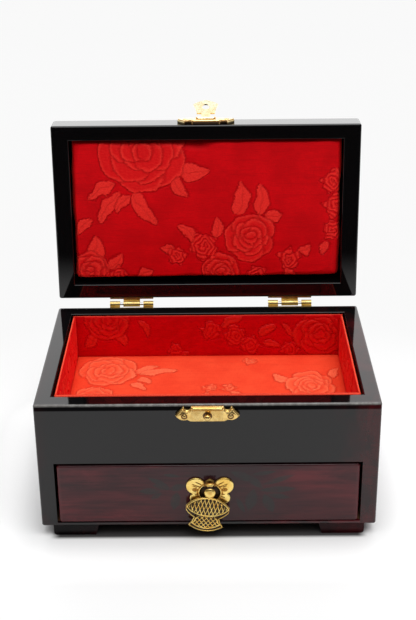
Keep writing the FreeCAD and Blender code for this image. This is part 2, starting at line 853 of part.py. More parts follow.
def make_pull_plate():
    """The butterfly plate: four round wings, a crest, an open ring and two ears for a pin."""
    y = plate_face
    pieces = []
    for side in (-1, 1):
        pieces.append(disc(pull_offset + side * wing_x, wing_drop, wing_radius, y, pull_plate))
        pieces.append(disc(pull_offset + side * lobe_x, lobe_drop, lobe_radius, y, pull_plate))
        stud_start = V(pull_offset + side * wing_x, drawer_face, rim - wing_drop)
        pieces.append(rod(stud_start, Y_AXIS, pull_stud_radius, pull_stud_length))
    middle = mirrored_outline(
        [
            (0, rim - crest_drop),
            (crest_half, rim - crest_shoulder_drop),
            (wing_x, rim - crest_foot_drop),
            (lobe_x, rim - plate_bottom_drop),
            (0, rim - plate_bottom_drop),
        ]
    )
    centre = front_plate(middle, y, pull_plate)
    centre.translate(V(pull_offset, 0, 0))
    plate = joined(pieces + [centre])
    hole = rod(V(pull_offset, y - 1, rim - ring_drop), Y_AXIS, ring_radius, pull_plate + 1)
    plate = plate.cut(hole)
    ears = []
    for side in (-1, 1):
        x0, x1 = sorted((side * pull_ear_half, side * (pull_ear_half + pull_ear)))
        x0 += pull_offset
        low = pull_z - pull_roll_radius
        ears.append(box(x0, x0 + pull_ear, pull_y, y + pull_ear_root, low, pull_z + pull_roll_radius))
        ears.append(rod(V(x0, pull_y, pull_z), X_AXIS, pull_roll_radius, pull_ear))
    plate = joined([plate] + ears)
    reach = pull_ear_half + pull_ear + 1
    bore = rod(V(pull_offset - reach, pull_y, pull_z), X_AXIS, pull_pin_radius + seat_gap, 2 * reach)
    return plate.cut(bore)


def fish_outline(border, fall):
    """The lens of the fish, two arcs between its tips, about the middle of its tips."""
    half = fish_half_length - border
    return [(half, 0, 0, fish_rise - border), (-half, 0, 0, -fall)]


def tail_outline(border):
    """The fan of the tail below the lens, about the middle of the lens's tips."""
    neck = tail_neck_half - border
    corner = tail_half - 2 * border
    return [
        (neck, 0),
        (neck, -tail_neck_drop),
        (corner, -tail_corner_drop),
        (-corner, -tail_corner_drop, 0, -tail_bottom_drop + border),
        (-neck, -tail_neck_drop),
        (-neck, 0),
    ]


def make_pull_drop():
    """The hanging fish: a flange, a raised lens and tail, a round bulb and a roll for the pin."""
    back = pull_y + pull_roll_radius - pull_back_step
    flange_front = back - fish_flange
    relief_front = flange_front - fish_relief
    fish = joined(
        [
            front_plate(fish_outline(0, fish_fall), flange_front, fish_flange),
            front_plate(tail_outline(0), flange_front, fish_flange),
            front_plate(fish_outline(fish_border, fish_relief_fall), relief_front, fish_relief),
            front_plate(tail_outline(fish_border), relief_front + fish_relief / 2, fish_relief / 2),
        ]
    )
    fish.translate(V(pull_offset, 0, rim - fish_drop))
    bulb = disc(pull_offset, bulb_drop, bulb_radius, back - bulb_thickness, bulb_thickness)
    bulb_edge = [e for e in bulb.Edges if near(e.BoundBox.YMax, back - bulb_thickness)]
    bulb = bulb.makeFillet(bulb_round, bulb_edge)
    half_roll = pull_ear_half - running_gap
    neck = box(
        pull_offset - neck_half,
        pull_offset + neck_half,
        back - fish_flange,
        back,
        rim - bulb_drop,
        pull_z,
    )
    roll = rod(V(pull_offset - half_roll, pull_y, pull_z), X_AXIS, pull_roll_radius, 2 * half_roll)
    link = box(
        pull_offset - neck_half,
        pull_offset + neck_half,
        back - fish_flange,
        back,
        rim - fish_drop,
        rim - bulb_drop,
    )
    hanging = joined([fish, link])
    hanging.rotate(V(pull_offset, 0, pull_z), Y_AXIS, fish_tilt)
    drop = joined([hanging, bulb, neck, roll])
    start = V(pull_offset - half_roll - 1, pull_y, pull_z)
    return drop.cut(rod(start, X_AXIS, pull_pin_radius + running_gap, 2 * half_roll + 2))


def make_pull_pin():
    reach = pull_ear_half + pull_ear
    return rod(V(pull_offset - reach, pull_y, pull_z), X_AXIS, pull_pin_radius, 2 * reach)


# Places inside the movement
bridge_front = inner_back - bridge_setback - bridge_plate
bridge_back = bridge_front + bridge_plate
wheel_level = bridge_back + level_gap
fine_level = wheel_level + fine_face + level_gap
train_level = fine_level + fine_face + level_gap
drum_level = train_level + gear_face + level_gap
drum_back = bedplate_front - level_gap
train_distance = (barrel_gear_teeth + cylinder_pinion_teeth) * train_module / 2
cylinder_x = barrel_x + train_distance
train_z = key_z + barrel_rise
fine_distance = (cylinder_gear_teeth + governor_pinion_teeth) * fine_module / 2
governor_x = cylinder_x + fine_distance * math.cos(math.radians(governor_angle))
governor_z = train_z + fine_distance * math.sin(math.radians(governor_angle))
wheel_radius = governor_wheel_teeth * worm_module / 2
fly_x = governor_x + wheel_radius + worm_radius
fly_y = wheel_level + fine_face / 2
fly_top = governor_z - fly_drop + fly_height / 2
fly_bottom = fly_top - fly_height
ear_top = governor_z + worm_length / 2 + governor_ear_margin
ear_bottom = fly_bottom - governor_ear_margin
plunger_x = fly_x + fly_radius + plunger_fly_gap + plunger_radius
plunger_z = (fly_top + fly_bottom) / 2
plunger_guide = partition_back + plunger_guide_back
governor_plate_x = plunger_x + plunger_radius + governor_plate_gap
comb_tip_x = cylinder_x + cylinder_radius + pin_height + comb_tip_gap
comb_base_x = comb_tip_x + comb_length - comb_base
comb_front = drum_level + level_gap
comb_span = tune_notes * note_pitch
comb_low = train_z - comb_thickness / 2


def plunger_point(y):
    return V(plunger_x, y, plunger_z)


def pillar_points():
    """Three pillars that carry the bridge, clear of the barrel gear and the cylinder."""
    gear_tip = barrel_gear_teeth * train_module / 2 + train_module
    away = gear_tip + pillar_radius + pillar_gap
    points = []
    for angle in (180 - pillar_angle, 180 + pillar_angle):
        turn = math.radians(angle)
        points.append((barrel_x + away * math.cos(turn), train_z + away * math.sin(turn)))
    points.append((cylinder_x + pillar_offset, train_z + pillar_rise))
    return points


def make_bedplate():
    """The plate that holds the movement, with its arbor holes and four screw holes."""
    plate = box(
        -bedplate_left,
        bedplate_right,
        bedplate_front,
        inner_back,
        key_z - bedplate_half_height,
        key_z + bedplate_half_height,
    )
    corners = [e for e in plate.Edges if near(e.BoundBox.YLength, bedplate)]
    plate = plate.makeFillet(bedplate_corner, corners)
    start = bedplate_front - 1
    holes = [
        (barrel_x, train_z, winding_arbor + train_bore_gap),
        (cylinder_x, train_z, cylinder_arbor + train_bore_gap),
        (governor_x, governor_z, governor_arbor + train_bore_gap),
    ]
    for x, z, radius in holes:
        plate = plate.cut(rod(V(x, start, z), Y_AXIS, radius, bedplate + 2))
    for seat in bedplate_screw_seats():
        plate = plate.cut(rod(seat - Y_AXIS, Y_AXIS, wood_screw_shank + seat_gap, bedplate + 2))
    return plate


def make_bridge():
    """The front plate of the movement on its three pillars, with bearings for the arbors."""
    pillars = pillar_points()
    places = pillars + [(cylinder_x, train_z), (governor_x, governor_z), (barrel_x, train_z)]
    pads = [rod(V(x, bridge_front, z), Y_AXIS, bridge_border, bridge_plate) for x, z in places]
    toe = (barrel_x, governor_z - bridge_toe)
    corners = [pillars[0], pillars[2], (governor_x, governor_z), toe, pillars[1]]
    web = front_plate(corners, bridge_front, bridge_plate)
    legs = [
        rod(V(x, bridge_front, z), Y_AXIS, pillar_radius, bedplate_front - bridge_front)
        for x, z in pillars
    ]
    bridge = joined(pads + [web] + legs)
    bores = [
        (barrel_x, train_z, winding_arbor + train_bore_gap),
        (cylinder_x, train_z, cylinder_arbor + train_bore_gap),
        (governor_x, governor_z, governor_arbor + train_bore_gap),
    ]
    for x, z, radius in bores:
        bridge = bridge.cut(rod(V(x, bridge_front - 1, z), Y_AXIS, radius, bridge_plate + 2))
    return bridge


def make_barrel():
    """The spring barrel with its gear, and the coiled mainspring inside."""
    bore = winding_arbor + train_bore_gap
    drum_length = drum_back - drum_level
    drum = rod(V(barrel_x, drum_level, train_z), Y_AXIS, barrel_radius, drum_length)
    cavity = rod(
        V(barrel_x, drum_level + barrel_wall, train_z),
        Y_AXIS,
        barrel_radius - barrel_wall,
        drum_length - 2 * barrel_wall,
    )
    hub = rod(V(barrel_x, train_level, train_z), Y_AXIS, barrel_hub_radius, drum_level - train_level)
    toothed = gear(barrel_x, train_z, train_level, gear_face, barrel_gear_teeth, train_module, 0)
    barrel = joined([drum, hub, toothed]).cut(cavity)
    bore_start = V(barrel_x, train_level - 1, train_z)
    barrel = barrel.cut(rod(bore_start, Y_AXIS, bore, drum_back - train_level + 2))
    inner = winding_arbor + spring_inner_gap
    outer = barrel_radius - barrel_wall - spring_outer_gap
    outside = []
    inside = []
    for step in range(spring_turns * spring_steps + 1):
        share = step / (spring_turns * spring_steps)
        angle = 2 * math.pi * step / spring_steps
        radius = inner + (outer - inner - spring_strip) * share
        for points, r in ((inside, radius), (outside, radius + spring_strip)):
            points.append((barrel_x + r * math.cos(angle), train_z + r * math.sin(angle)))
    spring = front_plate(
        outside + inside[::-1],
        drum_level + barrel_wall + spring_side_gap,
        drum_length - 2 * barrel_wall - 2 * spring_side_gap,
    )
    return {"spring_barrel": barrel, "mainspring": spring}


def make_cylinder():
    """The music cylinder with its pins, pinion and driving gear on one arbor."""
    drum = rod(V(cylinder_x, drum_level, train_z), Y_AXIS, cylinder_radius, drum_back - drum_level)
    arbor = rod(V(cylinder_x, bridge_front, train_z), Y_AXIS, cylinder_arbor, inner_back - bridge_front)
    hub = rod(V(cylinder_x, wheel_level, train_z), Y_AXIS, cylinder_hub, drum_level - wheel_level)
    pinion_size = (gear_face, cylinder_pinion_teeth, train_module)
    pinion = gear(cylinder_x, train_z, train_level, *pinion_size, 0.5)
    driver_size = (fine_face, cylinder_gear_teeth, fine_module)
    driver = gear(cylinder_x, train_z, fine_level, *driver_size, governor_angle / 360 * cylinder_gear_teeth)
    pins = []
    row_angle = 360 / pin_rows
    for note in range(tune_notes):
        y = comb_front + (note + 0.5) * note_pitch
        step = (note * pin_step) % tune_notes
        for row in range(pin_rows):
            angle = math.radians(pin_start + row_angle * (row + step / tune_notes))
            outward = V(math.cos(angle), 0, math.sin(angle))
            start = V(cylinder_x, y, train_z) + outward * (cylinder_radius - pin_root)
            pins.append(rod(start, outward, pin_radius, pin_height + pin_root))
    core = joined([drum, arbor, hub, pinion, driver])
    return core.multiFuse(pins)


def make_governor_wheel():
    """The worm wheel and the small pinion that the cylinder drives, on one arbor."""
    turned = (governor_angle + 180) / 360 * governor_pinion_teeth + 0.5
    size = (fine_face, governor_pinion_teeth, fine_module)
    pinion = gear(governor_x, governor_z, fine_level, *size, turned, tooth_share, pinion_tooth_height)
    size = (fine_face, governor_wheel_teeth, worm_module)
    wheel = gear(governor_x, governor_z, wheel_level, *size, 0, worm_tooth_share)
    collar_length = fine_level + fine_face - wheel_level
    collar = rod(V(governor_x, wheel_level, governor_z), Y_AXIS, governor_hub, collar_length)
    arbor = rod(V(governor_x, bridge_front, governor_z), Y_AXIS, governor_arbor, inner_back - bridge_front)
    return joined([pinion, wheel, collar, arbor])


def make_fly():
    """The worm with its two air blades, which hold the speed."""
    lead = math.pi * worm_module
    root = worm_radius - worm_module * worm_dedendum
    tip = worm_radius + worm_module * worm_addendum
    low = governor_z - worm_length / 2
    half_root = lead * worm_root_share
    half_tip = lead * worm_tip_share
    centre = V(fly_x, fly_y, low)
    helix = Part.makeHelix(lead, worm_length, root)
    helix.translate(centre)
    inside = root - worm_overlap
    profile = Part.makePolygon(
        [
            V(inside, 0, -half_root),
            V(tip, 0, -half_tip),
            V(tip, 0, half_tip),
            V(inside, 0, half_root),
            V(inside, 0, -half_root),
        ]
    )
    profile.translate(centre)
    thread = Part.Wire(helix.Edges).makePipeShell([profile], True, True)
    core = rod(V(fly_x, fly_y, low - half_root), Z_AXIS, root, worm_length + 2 * half_root)
    arbor_low = ear_bottom - governor_ear
    arbor = rod(V(fly_x, fly_y, arbor_low), Z_AXIS, fly_arbor, ear_top + governor_ear - arbor_low)
    blades = box(
        fly_x - fly_radius,
        fly_x + fly_radius,
        fly_y - fly_blade / 2,
        fly_y + fly_blade / 2,
        fly_bottom,
        fly_top,
    )
    blades.rotate(V(fly_x, fly_y, 0), Z_AXIS, fly_turn)
    hub = rod(V(fly_x, fly_y, fly_bottom), Z_AXIS, fly_hub, fly_height)
    return joined([core, thread, arbor, blades, hub])


def make_governor_bracket():
    """A bracket on the bedplate with two ears for the fly and a guide for the plunger."""
    x0 = governor_plate_x
    x1 = x0 + governor_ear
    front = fly_y - governor_ear_half
    wall_plate = box(x0, x1, front, bedplate_front, ear_bottom - governor_ear, ear_top + governor_ear)
    ears = []
    for z in (ear_bottom - governor_ear, ear_top):
        top = z + governor_ear
        ears.append(box(fly_x - governor_ear_half, x1, front, fly_y + governor_ear_half, z, top))
    rear = plunger_guide
    tab_half = plunger_radius + governor_ear
    tab_low = plunger_z - tab_half
    tab = box(plunger_x - tab_half, x1, rear, rear + governor_ear, tab_low, plunger_z + tab_half)
    bracket = joined([wall_plate, tab] + ears)
    low = ear_bottom - governor_ear - 1
    bracket = bracket.cut(rod(V(fly_x, fly_y, low), Z_AXIS, fly_arbor + train_bore_gap, ear_top - low + 3))
    guide = rod(plunger_point(rear - 1), Y_AXIS, plunger_radius + running_gap, governor_ear + 2)
    return bracket.cut(guide)


def make_comb():
    """The comb of tuned steel teeth, its block and its screws."""
    base_end = comb_tip_x + comb_length
    comb_top = comb_low + comb_thickness
    comb_rear = comb_front + comb_span
    comb = box(comb_tip_x, base_end, comb_front, comb_rear, comb_low, comb_top)
    slots = []
    for note in range(1, tune_notes):
        y = comb_front + note * note_pitch
        slot_end = comb_base_x - comb_slot_step * (tune_notes - note)
        half = comb_slot / 2
        slots.append(box(comb_tip_x - 1, slot_end, y - half, y + half, comb_low - 1, comb_top + 1))
    comb = comb.cut(Part.makeCompound(slots))
    block_x = comb_base_x + comb_block_step
    block = box(block_x, base_end, comb_front, bedplate_front, comb_low - comb_block_height, comb_low)
    size = (comb_screw_head, comb_screw_head_height, comb_screw_shank, comb_screw_length)
    down = Z_AXIS * -1
    screws = []
    for y in (comb_front + comb_screw_inset, comb_rear - comb_screw_inset):
        seat = V((block_x + base_end) / 2, y, comb_top)
        comb = comb.cut(pilot(seat, down, comb_screw_shank, comb_thickness + 1))
        block = block.cut(pilot(seat, down, comb_screw_shank, comb_screw_length))
        screws.append(fastener(seat, down, *size))
    return {"music_comb": comb, "comb_block": block, "comb_screws": Part.makeCompound(screws)}


def make_winding():
    """The winding arbor through the back board and the key outside."""
    arbor_end = case_depth + key_stand_off + key_hub_length
    arbor = rod(key_point(bridge_front), Y_AXIS, winding_arbor, arbor_end - bridge_front)
    hub_start = case_depth + key_stand_off
    hub = rod(key_point(hub_start), Y_AXIS, key_hub_radius, key_hub_length)
    low = train_z - key_wing_thickness / 2
    high = train_z + key_wing_thickness / 2
    wings = []
    wing_start = hub_start + key_wing_root
    for side in (-1, 1):
        x0, x1 = sorted((barrel_x + side * key_wing_gap, barrel_x + side * key_wing_half))
        wing = box(x0, x1, wing_start, wing_start + key_wing_length, low, high)
        uprights = [e for e in wing.Edges if near(e.BoundBox.ZLength, key_wing_thickness)]
        outer = [e for e in uprights if near(abs(e.BoundBox.XMin - barrel_x), key_wing_half)]
        wings.append(wing.makeFillet(key_wing_round, outer))
    key = joined([hub] + wings)
    key = key.cut(rod(key_point(hub_start - 1), Y_AXIS, winding_arbor + seat_gap, key_hub_length + 1))
    return {"winding_arbor": arbor, "winding_key": key}


def make_stop_plunger():
    """The rod that the drawer's back pushes to stop the fly."""
    start = drawer_rear + plunger_gap
    end = plunger_guide + governor_ear + 1
    plunger = rod(plunger_point(start), Y_AXIS, plunger_radius, end - start)
    rounded = [e for e in plunger.Edges if near(e.BoundBox.YMax, start)]
    return plunger.makeFillet(plunger_nose_round, rounded)


def open_lid(shapes):
    """Turns pieces from the closed lid to the open one."""
    for shape in shapes.values():
        shape.rotate(V(0, hinge_y, hinge_z), X_AXIS, -lid_open_angle)
    return shapes


def all_parts():
    parts = {}
    parts.update(make_case())
    parts.update(make_feet())
    parts.update(make_tray_lining())
    parts.update(make_strike())
    fixed, moving = make_hinges()
    parts.update(fixed)
    parts["movement_bedplate"] = make_bedplate()
    parts["movement_bridge"] = make_bridge()
    parts.update(make_comb())
    parts["governor_bracket"] = make_governor_bracket()
    parts["bedplate_screws"] = wood_screws(bedplate_screw_seats(), Y_AXIS)
    parts.update(make_barrel())
    parts["music_cylinder"] = make_cylinder()
    parts["governor_wheel"] = make_governor_wheel()
    parts["governor_fly"] = make_fly()
    parts.update(make_winding())
    parts["stop_plunger"] = make_stop_plunger()
    parts.update(make_drawer())
    parts["pull_plate"] = make_pull_plate()
    parts["pull_pin"] = make_pull_pin()
    parts["pull_drop"] = make_pull_drop()
    lid = make_lid()
    lid.update(moving)
    lid.update(make_hasp_plate())
    tongue = make_hasp_tongue()
    tongue.rotate(V(0, hasp_y, hasp_z), X_AXIS, -hasp_open_angle)
    lid["hasp_tongue"] = tongue
    parts.update(open_lid(lid))
    return parts


def reach_along_y(shapes):
    low = min(shape.BoundBox.YMin for shape in shapes)
    high = max(shape.BoundBox.YMax for shape in shapes)
    return low, high


def main():
    os.makedirs("parts", exist_ok=True)
    parts = all_parts()
    front_reach, back_reach = reach_along_y(parts.values())
    shift = V(0, -(front_reach + back_reach) / 2, 0)
    for name, shape in parts.items():
        shape.translate(shift)
        shape.exportStep("parts/" + name + ".step")
    print("nodes", len(parts), "shift_y", round(shift.y, 4))


main()
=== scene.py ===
import math

import bmesh
import bpy
import numpy as np
from mathutils import Matrix, Vector


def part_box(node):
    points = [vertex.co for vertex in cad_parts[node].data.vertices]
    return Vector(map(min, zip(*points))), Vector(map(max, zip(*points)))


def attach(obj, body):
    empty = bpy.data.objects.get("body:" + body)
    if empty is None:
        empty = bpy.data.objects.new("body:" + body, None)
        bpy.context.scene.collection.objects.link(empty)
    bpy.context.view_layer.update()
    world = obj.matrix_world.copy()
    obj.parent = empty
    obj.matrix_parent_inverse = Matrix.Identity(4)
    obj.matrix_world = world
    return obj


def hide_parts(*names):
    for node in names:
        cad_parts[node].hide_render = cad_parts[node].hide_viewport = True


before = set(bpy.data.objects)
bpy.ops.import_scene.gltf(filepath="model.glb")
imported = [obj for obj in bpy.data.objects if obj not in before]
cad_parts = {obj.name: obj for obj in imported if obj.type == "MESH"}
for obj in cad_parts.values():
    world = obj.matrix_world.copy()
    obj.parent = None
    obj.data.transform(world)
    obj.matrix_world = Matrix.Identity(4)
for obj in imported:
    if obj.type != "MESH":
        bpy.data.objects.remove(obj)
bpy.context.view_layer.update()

MM = 0.001

# Places of the CAD model that the pieces here are built around, in millimetres of the row frame
MODEL_SHIFT = -82.0613
HINGE_Y = 136.0 + MODEL_SHIFT
HINGE_Z = 101.0
LID_ANGLE = math.radians(-94.2)
DRAWER_FACE = 0.3 + MODEL_SHIFT
PULL_X = 1.0
PULL_Z = 42.6
PULL_Y = DRAWER_FACE - 3.9
FISH_TILT = math.radians(4.8)


def lid_matrix():
    """Turns a lid piece from where it lies shut to where the lid stands open, in metres."""
    hinge = Vector((0, HINGE_Y * MM, HINGE_Z * MM))
    return Matrix.Translation(hinge) @ Matrix.Rotation(LID_ANGLE, 4, "X") @ Matrix.Translation(-hinge)


# Node trees

def srgb(red, green, blue):
    """A screen colour of 0 to 255 as linear light."""
    def linear(value):
        share = value / 255.0
        return share / 12.92 if share <= 0.04045 else ((share + 0.055) / 1.055) ** 2.4
    return (linear(red), linear(green), linear(blue), 1.0)


class Wire:
    """An output of a node. Arithmetic with it adds the nodes that work it out."""

    def __init__(self, shade, socket):
        self.shade = shade
        self.socket = socket

    def __add__(self, other):
        return self.shade.math("ADD", self, other)

    def __sub__(self, other):
        return self.shade.math("SUBTRACT", self, other)

    def __rsub__(self, other):
        return self.shade.math("SUBTRACT", other, self)

    def __mul__(self, other):
        return self.shade.math("MULTIPLY", self, other)

    def __abs__(self):
        return self.shade.math("ABSOLUTE", self)


class Shade:
    """A node tree of a material or the world, with short ways to add to it."""

    def __init__(self, name, world=False):
        self.material = (bpy.data.worlds if world else bpy.data.materials).new(name)
        self.material.use_nodes = True
        self.nodes = self.material.node_tree.nodes
        self.links = self.material.node_tree.links
        self.nodes.clear()
        self.where = self.add("TexCoord", output="Generated" if world else "Object")

    def node(self, kind, sockets=None, **settings):
        made = self.nodes.new("ShaderNode" + kind)
        for key, value in settings.items():
            setattr(made, key, value)
        for key, value in (sockets or {}).items():
            if isinstance(value, Wire):
                self.links.new(value.socket, made.inputs[key])
            else:
                made.inputs[key].default_value = value
        return made

    def add(self, kind, sockets=None, output=0, **settings):
        return Wire(self, self.node(kind, sockets, **settings).outputs[output])

    def parts(self, kind, value):
        return [Wire(self, socket) for socket in self.node(kind, {0: value}).outputs]

    def split(self, vector):
        return self.parts("SeparateXYZ", vector)

    def attribute(self, name):
        """The red, green and blue of a colour painted on the mesh."""
        return self.parts("SeparateColor", self.add("Attribute", output="Color", attribute_name=name))

    def math(self, operation, *values, clamp=False):
        return self.add("Math", dict(enumerate(values)), operation=operation, use_clamp=clamp)

    def noise(self, scale, detail, roughness, distortion=0.0, stretch=None, turn=(0, 0, 0)):
        """Noise of a fineness per metre. A stretch below one draws it out along that axis."""
        where = self.where
        if stretch:
            where = self.add("Mapping", {"Vector": where, "Scale": stretch, "Rotation": turn})
        sockets = {"Vector": where, "Scale": scale, "Detail": detail}
        return self.add("TexNoise", {**sockets, "Roughness": roughness, "Distortion": distortion})

    def ramp(self, value, low, high, from_value=0.0, to_value=1.0):
        """A smooth change of the result from one value to another as the input goes from low to high."""
        sockets = {0: value, 1: low, 2: high, 3: from_value, 4: to_value}
        return self.add("MapRange", sockets, interpolation_type="SMOOTHSTEP")

    def band(self, value, rise, fall):
        """One between a rise and a fall, each given as where it starts and ends, and nothing beyond."""
        return self.ramp(value, *rise) * self.ramp(value, *fall)

    def mix(self, share, a, b):
        return self.add("Mix", {0: share, 6: a, 7: b}, output=2, data_type="RGBA")

    def bump(self, height, distance, strength, under=None):
        sockets = {"Height": height, "Distance": distance, "Strength": strength}
        return self.add("Bump", {**sockets, "Normal": under} if under else sockets)

    def surface(self, **sockets):
        """Ends the tree in a shader and gives the material. Coat_ior is for its socket Coat IOR."""
        named = {key.replace("_", " ").title().replace("Ior", "IOR"): value for key, value in sockets.items()}
        self.node("OutputMaterial", {0: self.add("BsdfPrincipled", named)})
        return self.material


# Colours

BLACK, GLOW, PAINTED_EDGE_HIGHLIGHT = srgb(9, 8, 9), srgb(84, 16, 22), srgb(112, 110, 107)
ROSEWOOD_DARK, ROSEWOOD_LIGHT, ROSEWOOD_PATCH = srgb(52, 13, 20), srgb(98, 30, 36), srgb(38, 17, 21)
ROSEWOOD_MIDDLE, ROSEWOOD_SPRAY, ROSEWOOD_END = srgb(40, 30, 33), srgb(36, 41, 40), srgb(96, 40, 44)
BARE_DARK, BARE_LIGHT = srgb(96, 62, 40), srgb(140, 100, 66)
BASE_BLACK, BASE_RUBBED = srgb(10, 8, 9), srgb(92, 18, 26)
PILE_DARK, PILE_LIGHT, PILE_ROOT = srgb(120, 4, 14), srgb(160, 12, 24), srgb(88, 2, 8)
BRASS_BRIGHT, BRASS_DULL = srgb(240, 208, 140), srgb(214, 174, 98)
BRASS_TARNISH, BRASS_HONEY = srgb(70, 46, 20), srgb(186, 124, 44)
GOLD_BRIGHT, GOLD_DULL, GOLD_TARNISH = srgb(255, 226, 138), srgb(242, 198, 100), srgb(60, 42, 20)
LID_CLOTH = srgb(222, 6, 18), srgb(255, 60, 50), srgb(146, 0, 6)
# The tray's cloth is the lid's cloth given colours of its own on each surface, as painted light and shade: lighter
# and more orange on the floor and the side walls, darker on the front and back walls
FLOOR_CLOTH_PAINTED_LIT = srgb(242, 82, 50), srgb(255, 126, 88), srgb(216, 30, 18)
WALL_CLOTH_PAINTED_SHADE = srgb(214, 3, 16), srgb(255, 92, 62), srgb(160, 0, 6)
SIDE_CLOTH_PAINTED_LIT = srgb(250, 7, 22), srgb(255, 100, 66), srgb(200, 0, 8)
CLOTH_SHEEN, PILE_SHEEN = (1.0, 0.10, 0.06, 1.0), (1.0, 0.35, 0.3, 1.0)
WHITE, GLOSS_WHITE, GLOSS_BLACK = (1, 1, 1, 1), (0.97, 0.97, 0.97, 1.0), (0.02, 0.02, 0.02, 1.0)
PAPER_COOL, PAPER_WARM = (0.90, 0.90, 0.905, 1), (0.93, 0.93, 0.93, 1)
PAINTED_CONTACT_SHADOW, FLAT_BLACK = (0.02, 0.018, 0.018, 1), (0.01, 0.01, 0.01, 1)
ROOM_LOW, ROOM_HIGH = (0.06, 0.06, 0.06, 1.0), (0.80, 0.80, 0.80, 1.0)

# Where a finish changes, and where a painted highlight and a painted dark band lie: the start and the end of the
# change along the axis in its name, in metres
RUBBED_RIGHT_X, RUBBED_LEFT_X = (0.070, 0.109), (-0.100, -0.113)
RUBBED_LOW_Z, BELOW_LID_Z = (0.024, 0.006), (0.103, 0.099)
FRONT_EDGE_Z, FRONT_EDGE_Y = (0.0992, 0.0999), (-0.0803, -0.0810)
RIM_Z, RIM_Y = ((0.0992, 0.1002), (0.1030, 0.1012)), (-0.0803, -0.0797)
PAINTED_DARK_BAND_Z, PAINTED_DARK_BAND_Y = ((0.0958, 0.0972), (0.0997, 0.0992)), (-0.0816, -0.0820)
DRAWER_MIDDLE_X, DRAWER_MIDDLE_REACH = 0.004, (0.020, 0.060)
DRAWER_END_X, DRAWER_FACE_Y = (0.0950, 0.0978), (-0.0812, -0.0815)
BASE_RUB_X, BASE_FRONT_Y = (-0.02, 0.08), (-0.0790, -0.0806)
RIM_COAT, PAINTED_DARK_BAND_COAT = 0.80, 0.04
CLEAR_COAT_IOR = 1.5


# Materials

def lacquer(name, glow_share, coat):
    """Black lacquer over red-brown wood, which glows through where the hand rubbed it thin."""
    s = Shade(name)
    x, y, z = s.split(s.where)
    sides = s.ramp(x, *RUBBED_RIGHT_X, 0.0, 0.75) + s.ramp(x, *RUBBED_LEFT_X, 0.0, 0.25)
    low = s.ramp(z, *RUBBED_LOW_Z, 0.0, 0.5)
    thin = s.math("ADD", sides * s.ramp(z, *BELOW_LID_Z), low, clamp=True)
    cloud = s.ramp(s.noise(42, 5, 0.62, 0.4, stretch=(1, 1, 0.5)), 0.36, 0.66)
    streak = s.ramp(s.noise(130, 4, 0.6, stretch=(0.25, 1, 5)), 0.2, 0.6, 0.55, 1.0)
    colour = s.mix(thin * cloud * streak * glow_share, BLACK, GLOW)
    # Painted highlight: a pale grey line along the front top edge of the case, broken up by noise, painted into
    # the lacquer's colour
    painted_edge_highlight = s.ramp(z, *FRONT_EDGE_Z) * s.ramp(y, *FRONT_EDGE_Y)
    highlight_speckle = s.ramp(s.noise(240, 4, 0.6, stretch=(1, 0.2, 0.2)), 0.42, 0.68, 0.62, 1.0)
    rim = s.band(z, *RIM_Z) * s.ramp(y, *RIM_Y)
    # Painted shade: just under the front rim the coat is nearly taken away, so a band there shows dark with no
    # reflection in it
    dull = s.band(z, *PAINTED_DARK_BAND_Z) * s.ramp(y, *PAINTED_DARK_BAND_Y)
    coat_share = s.ramp(rim, 0.0, 1.0, 1.0, RIM_COAT) * s.ramp(dull, 0.0, 1.0, 1.0, PAINTED_DARK_BAND_COAT)
    peel = s.bump(s.noise(22, 2, 0.4), 0.00022, 0.4)
    return s.surface(
        base_color=s.mix(painted_edge_highlight * highlight_speckle, colour, PAINTED_EDGE_HIGHLIGHT),
        roughness=s.ramp(s.noise(900, 2, 0.5), 0.2, 0.8, 0.30, 0.42),
        specular_ior_level=0.0,
        coat_weight=coat_share * coat,
        coat_roughness=0.04,
        coat_ior=CLEAR_COAT_IOR,
        normal=peel,
        coat_normal=peel,
    )


# The leaves of the drawer's sprays: x and z of the base and of the tip, and half the width, in millimetres
SPRAYS = [
    (-30, 35, -46, 35, 3.0), (-24, 37, -40, 46, 2.4), (-24, 36, -37, 40, 2.4), (-20, 35, -23, 19.5, 4.0),
    (-14, 39, -26, 36, 3.2), (-30, 34, -38, 28, 2.2), (-17, 46, -30, 48, 1.6), (32, 35, 58.5, 36.5, 3.0),
    (34, 39, 57, 47.5, 2.4), (36, 33, 42.5, 17, 4.4), (30, 37, 26, 18, 4.6), (14, 50, 31, 42, 3.6),
    (24, 48, 36, 36, 3.2), (38, 32, 54, 29, 2.4), (27, 47, 45, 50, 1.8), (18, 30, 24, 17, 2.2),
]


def leaf_spray(s):
    """How far a point is inside the leaves of the sprays, from 0 to 1."""
    spray = 0.0
    for base_x, base_z, tip_x, tip_z, half_width in SPRAYS:
        length = math.hypot(tip_x - base_x, tip_z - base_z)
        sockets = {
            "Vector": s.where,
            "Location": ((base_x + tip_x) / 2 * MM, 0, (base_z + tip_z) / 2 * MM),
            "Rotation": (0, -math.atan2(tip_z - base_z, tip_x - base_x), 0),
            "Scale": (length / 2 * MM, 1, half_width * MM),
        }
        along, _, across = s.split(s.add("Mapping", sockets, vector_type="TEXTURE"))
        spray = s.math("MAXIMUM", spray, s.ramp(1.0 - along * along - abs(across), 0.0, 0.35))
    return spray


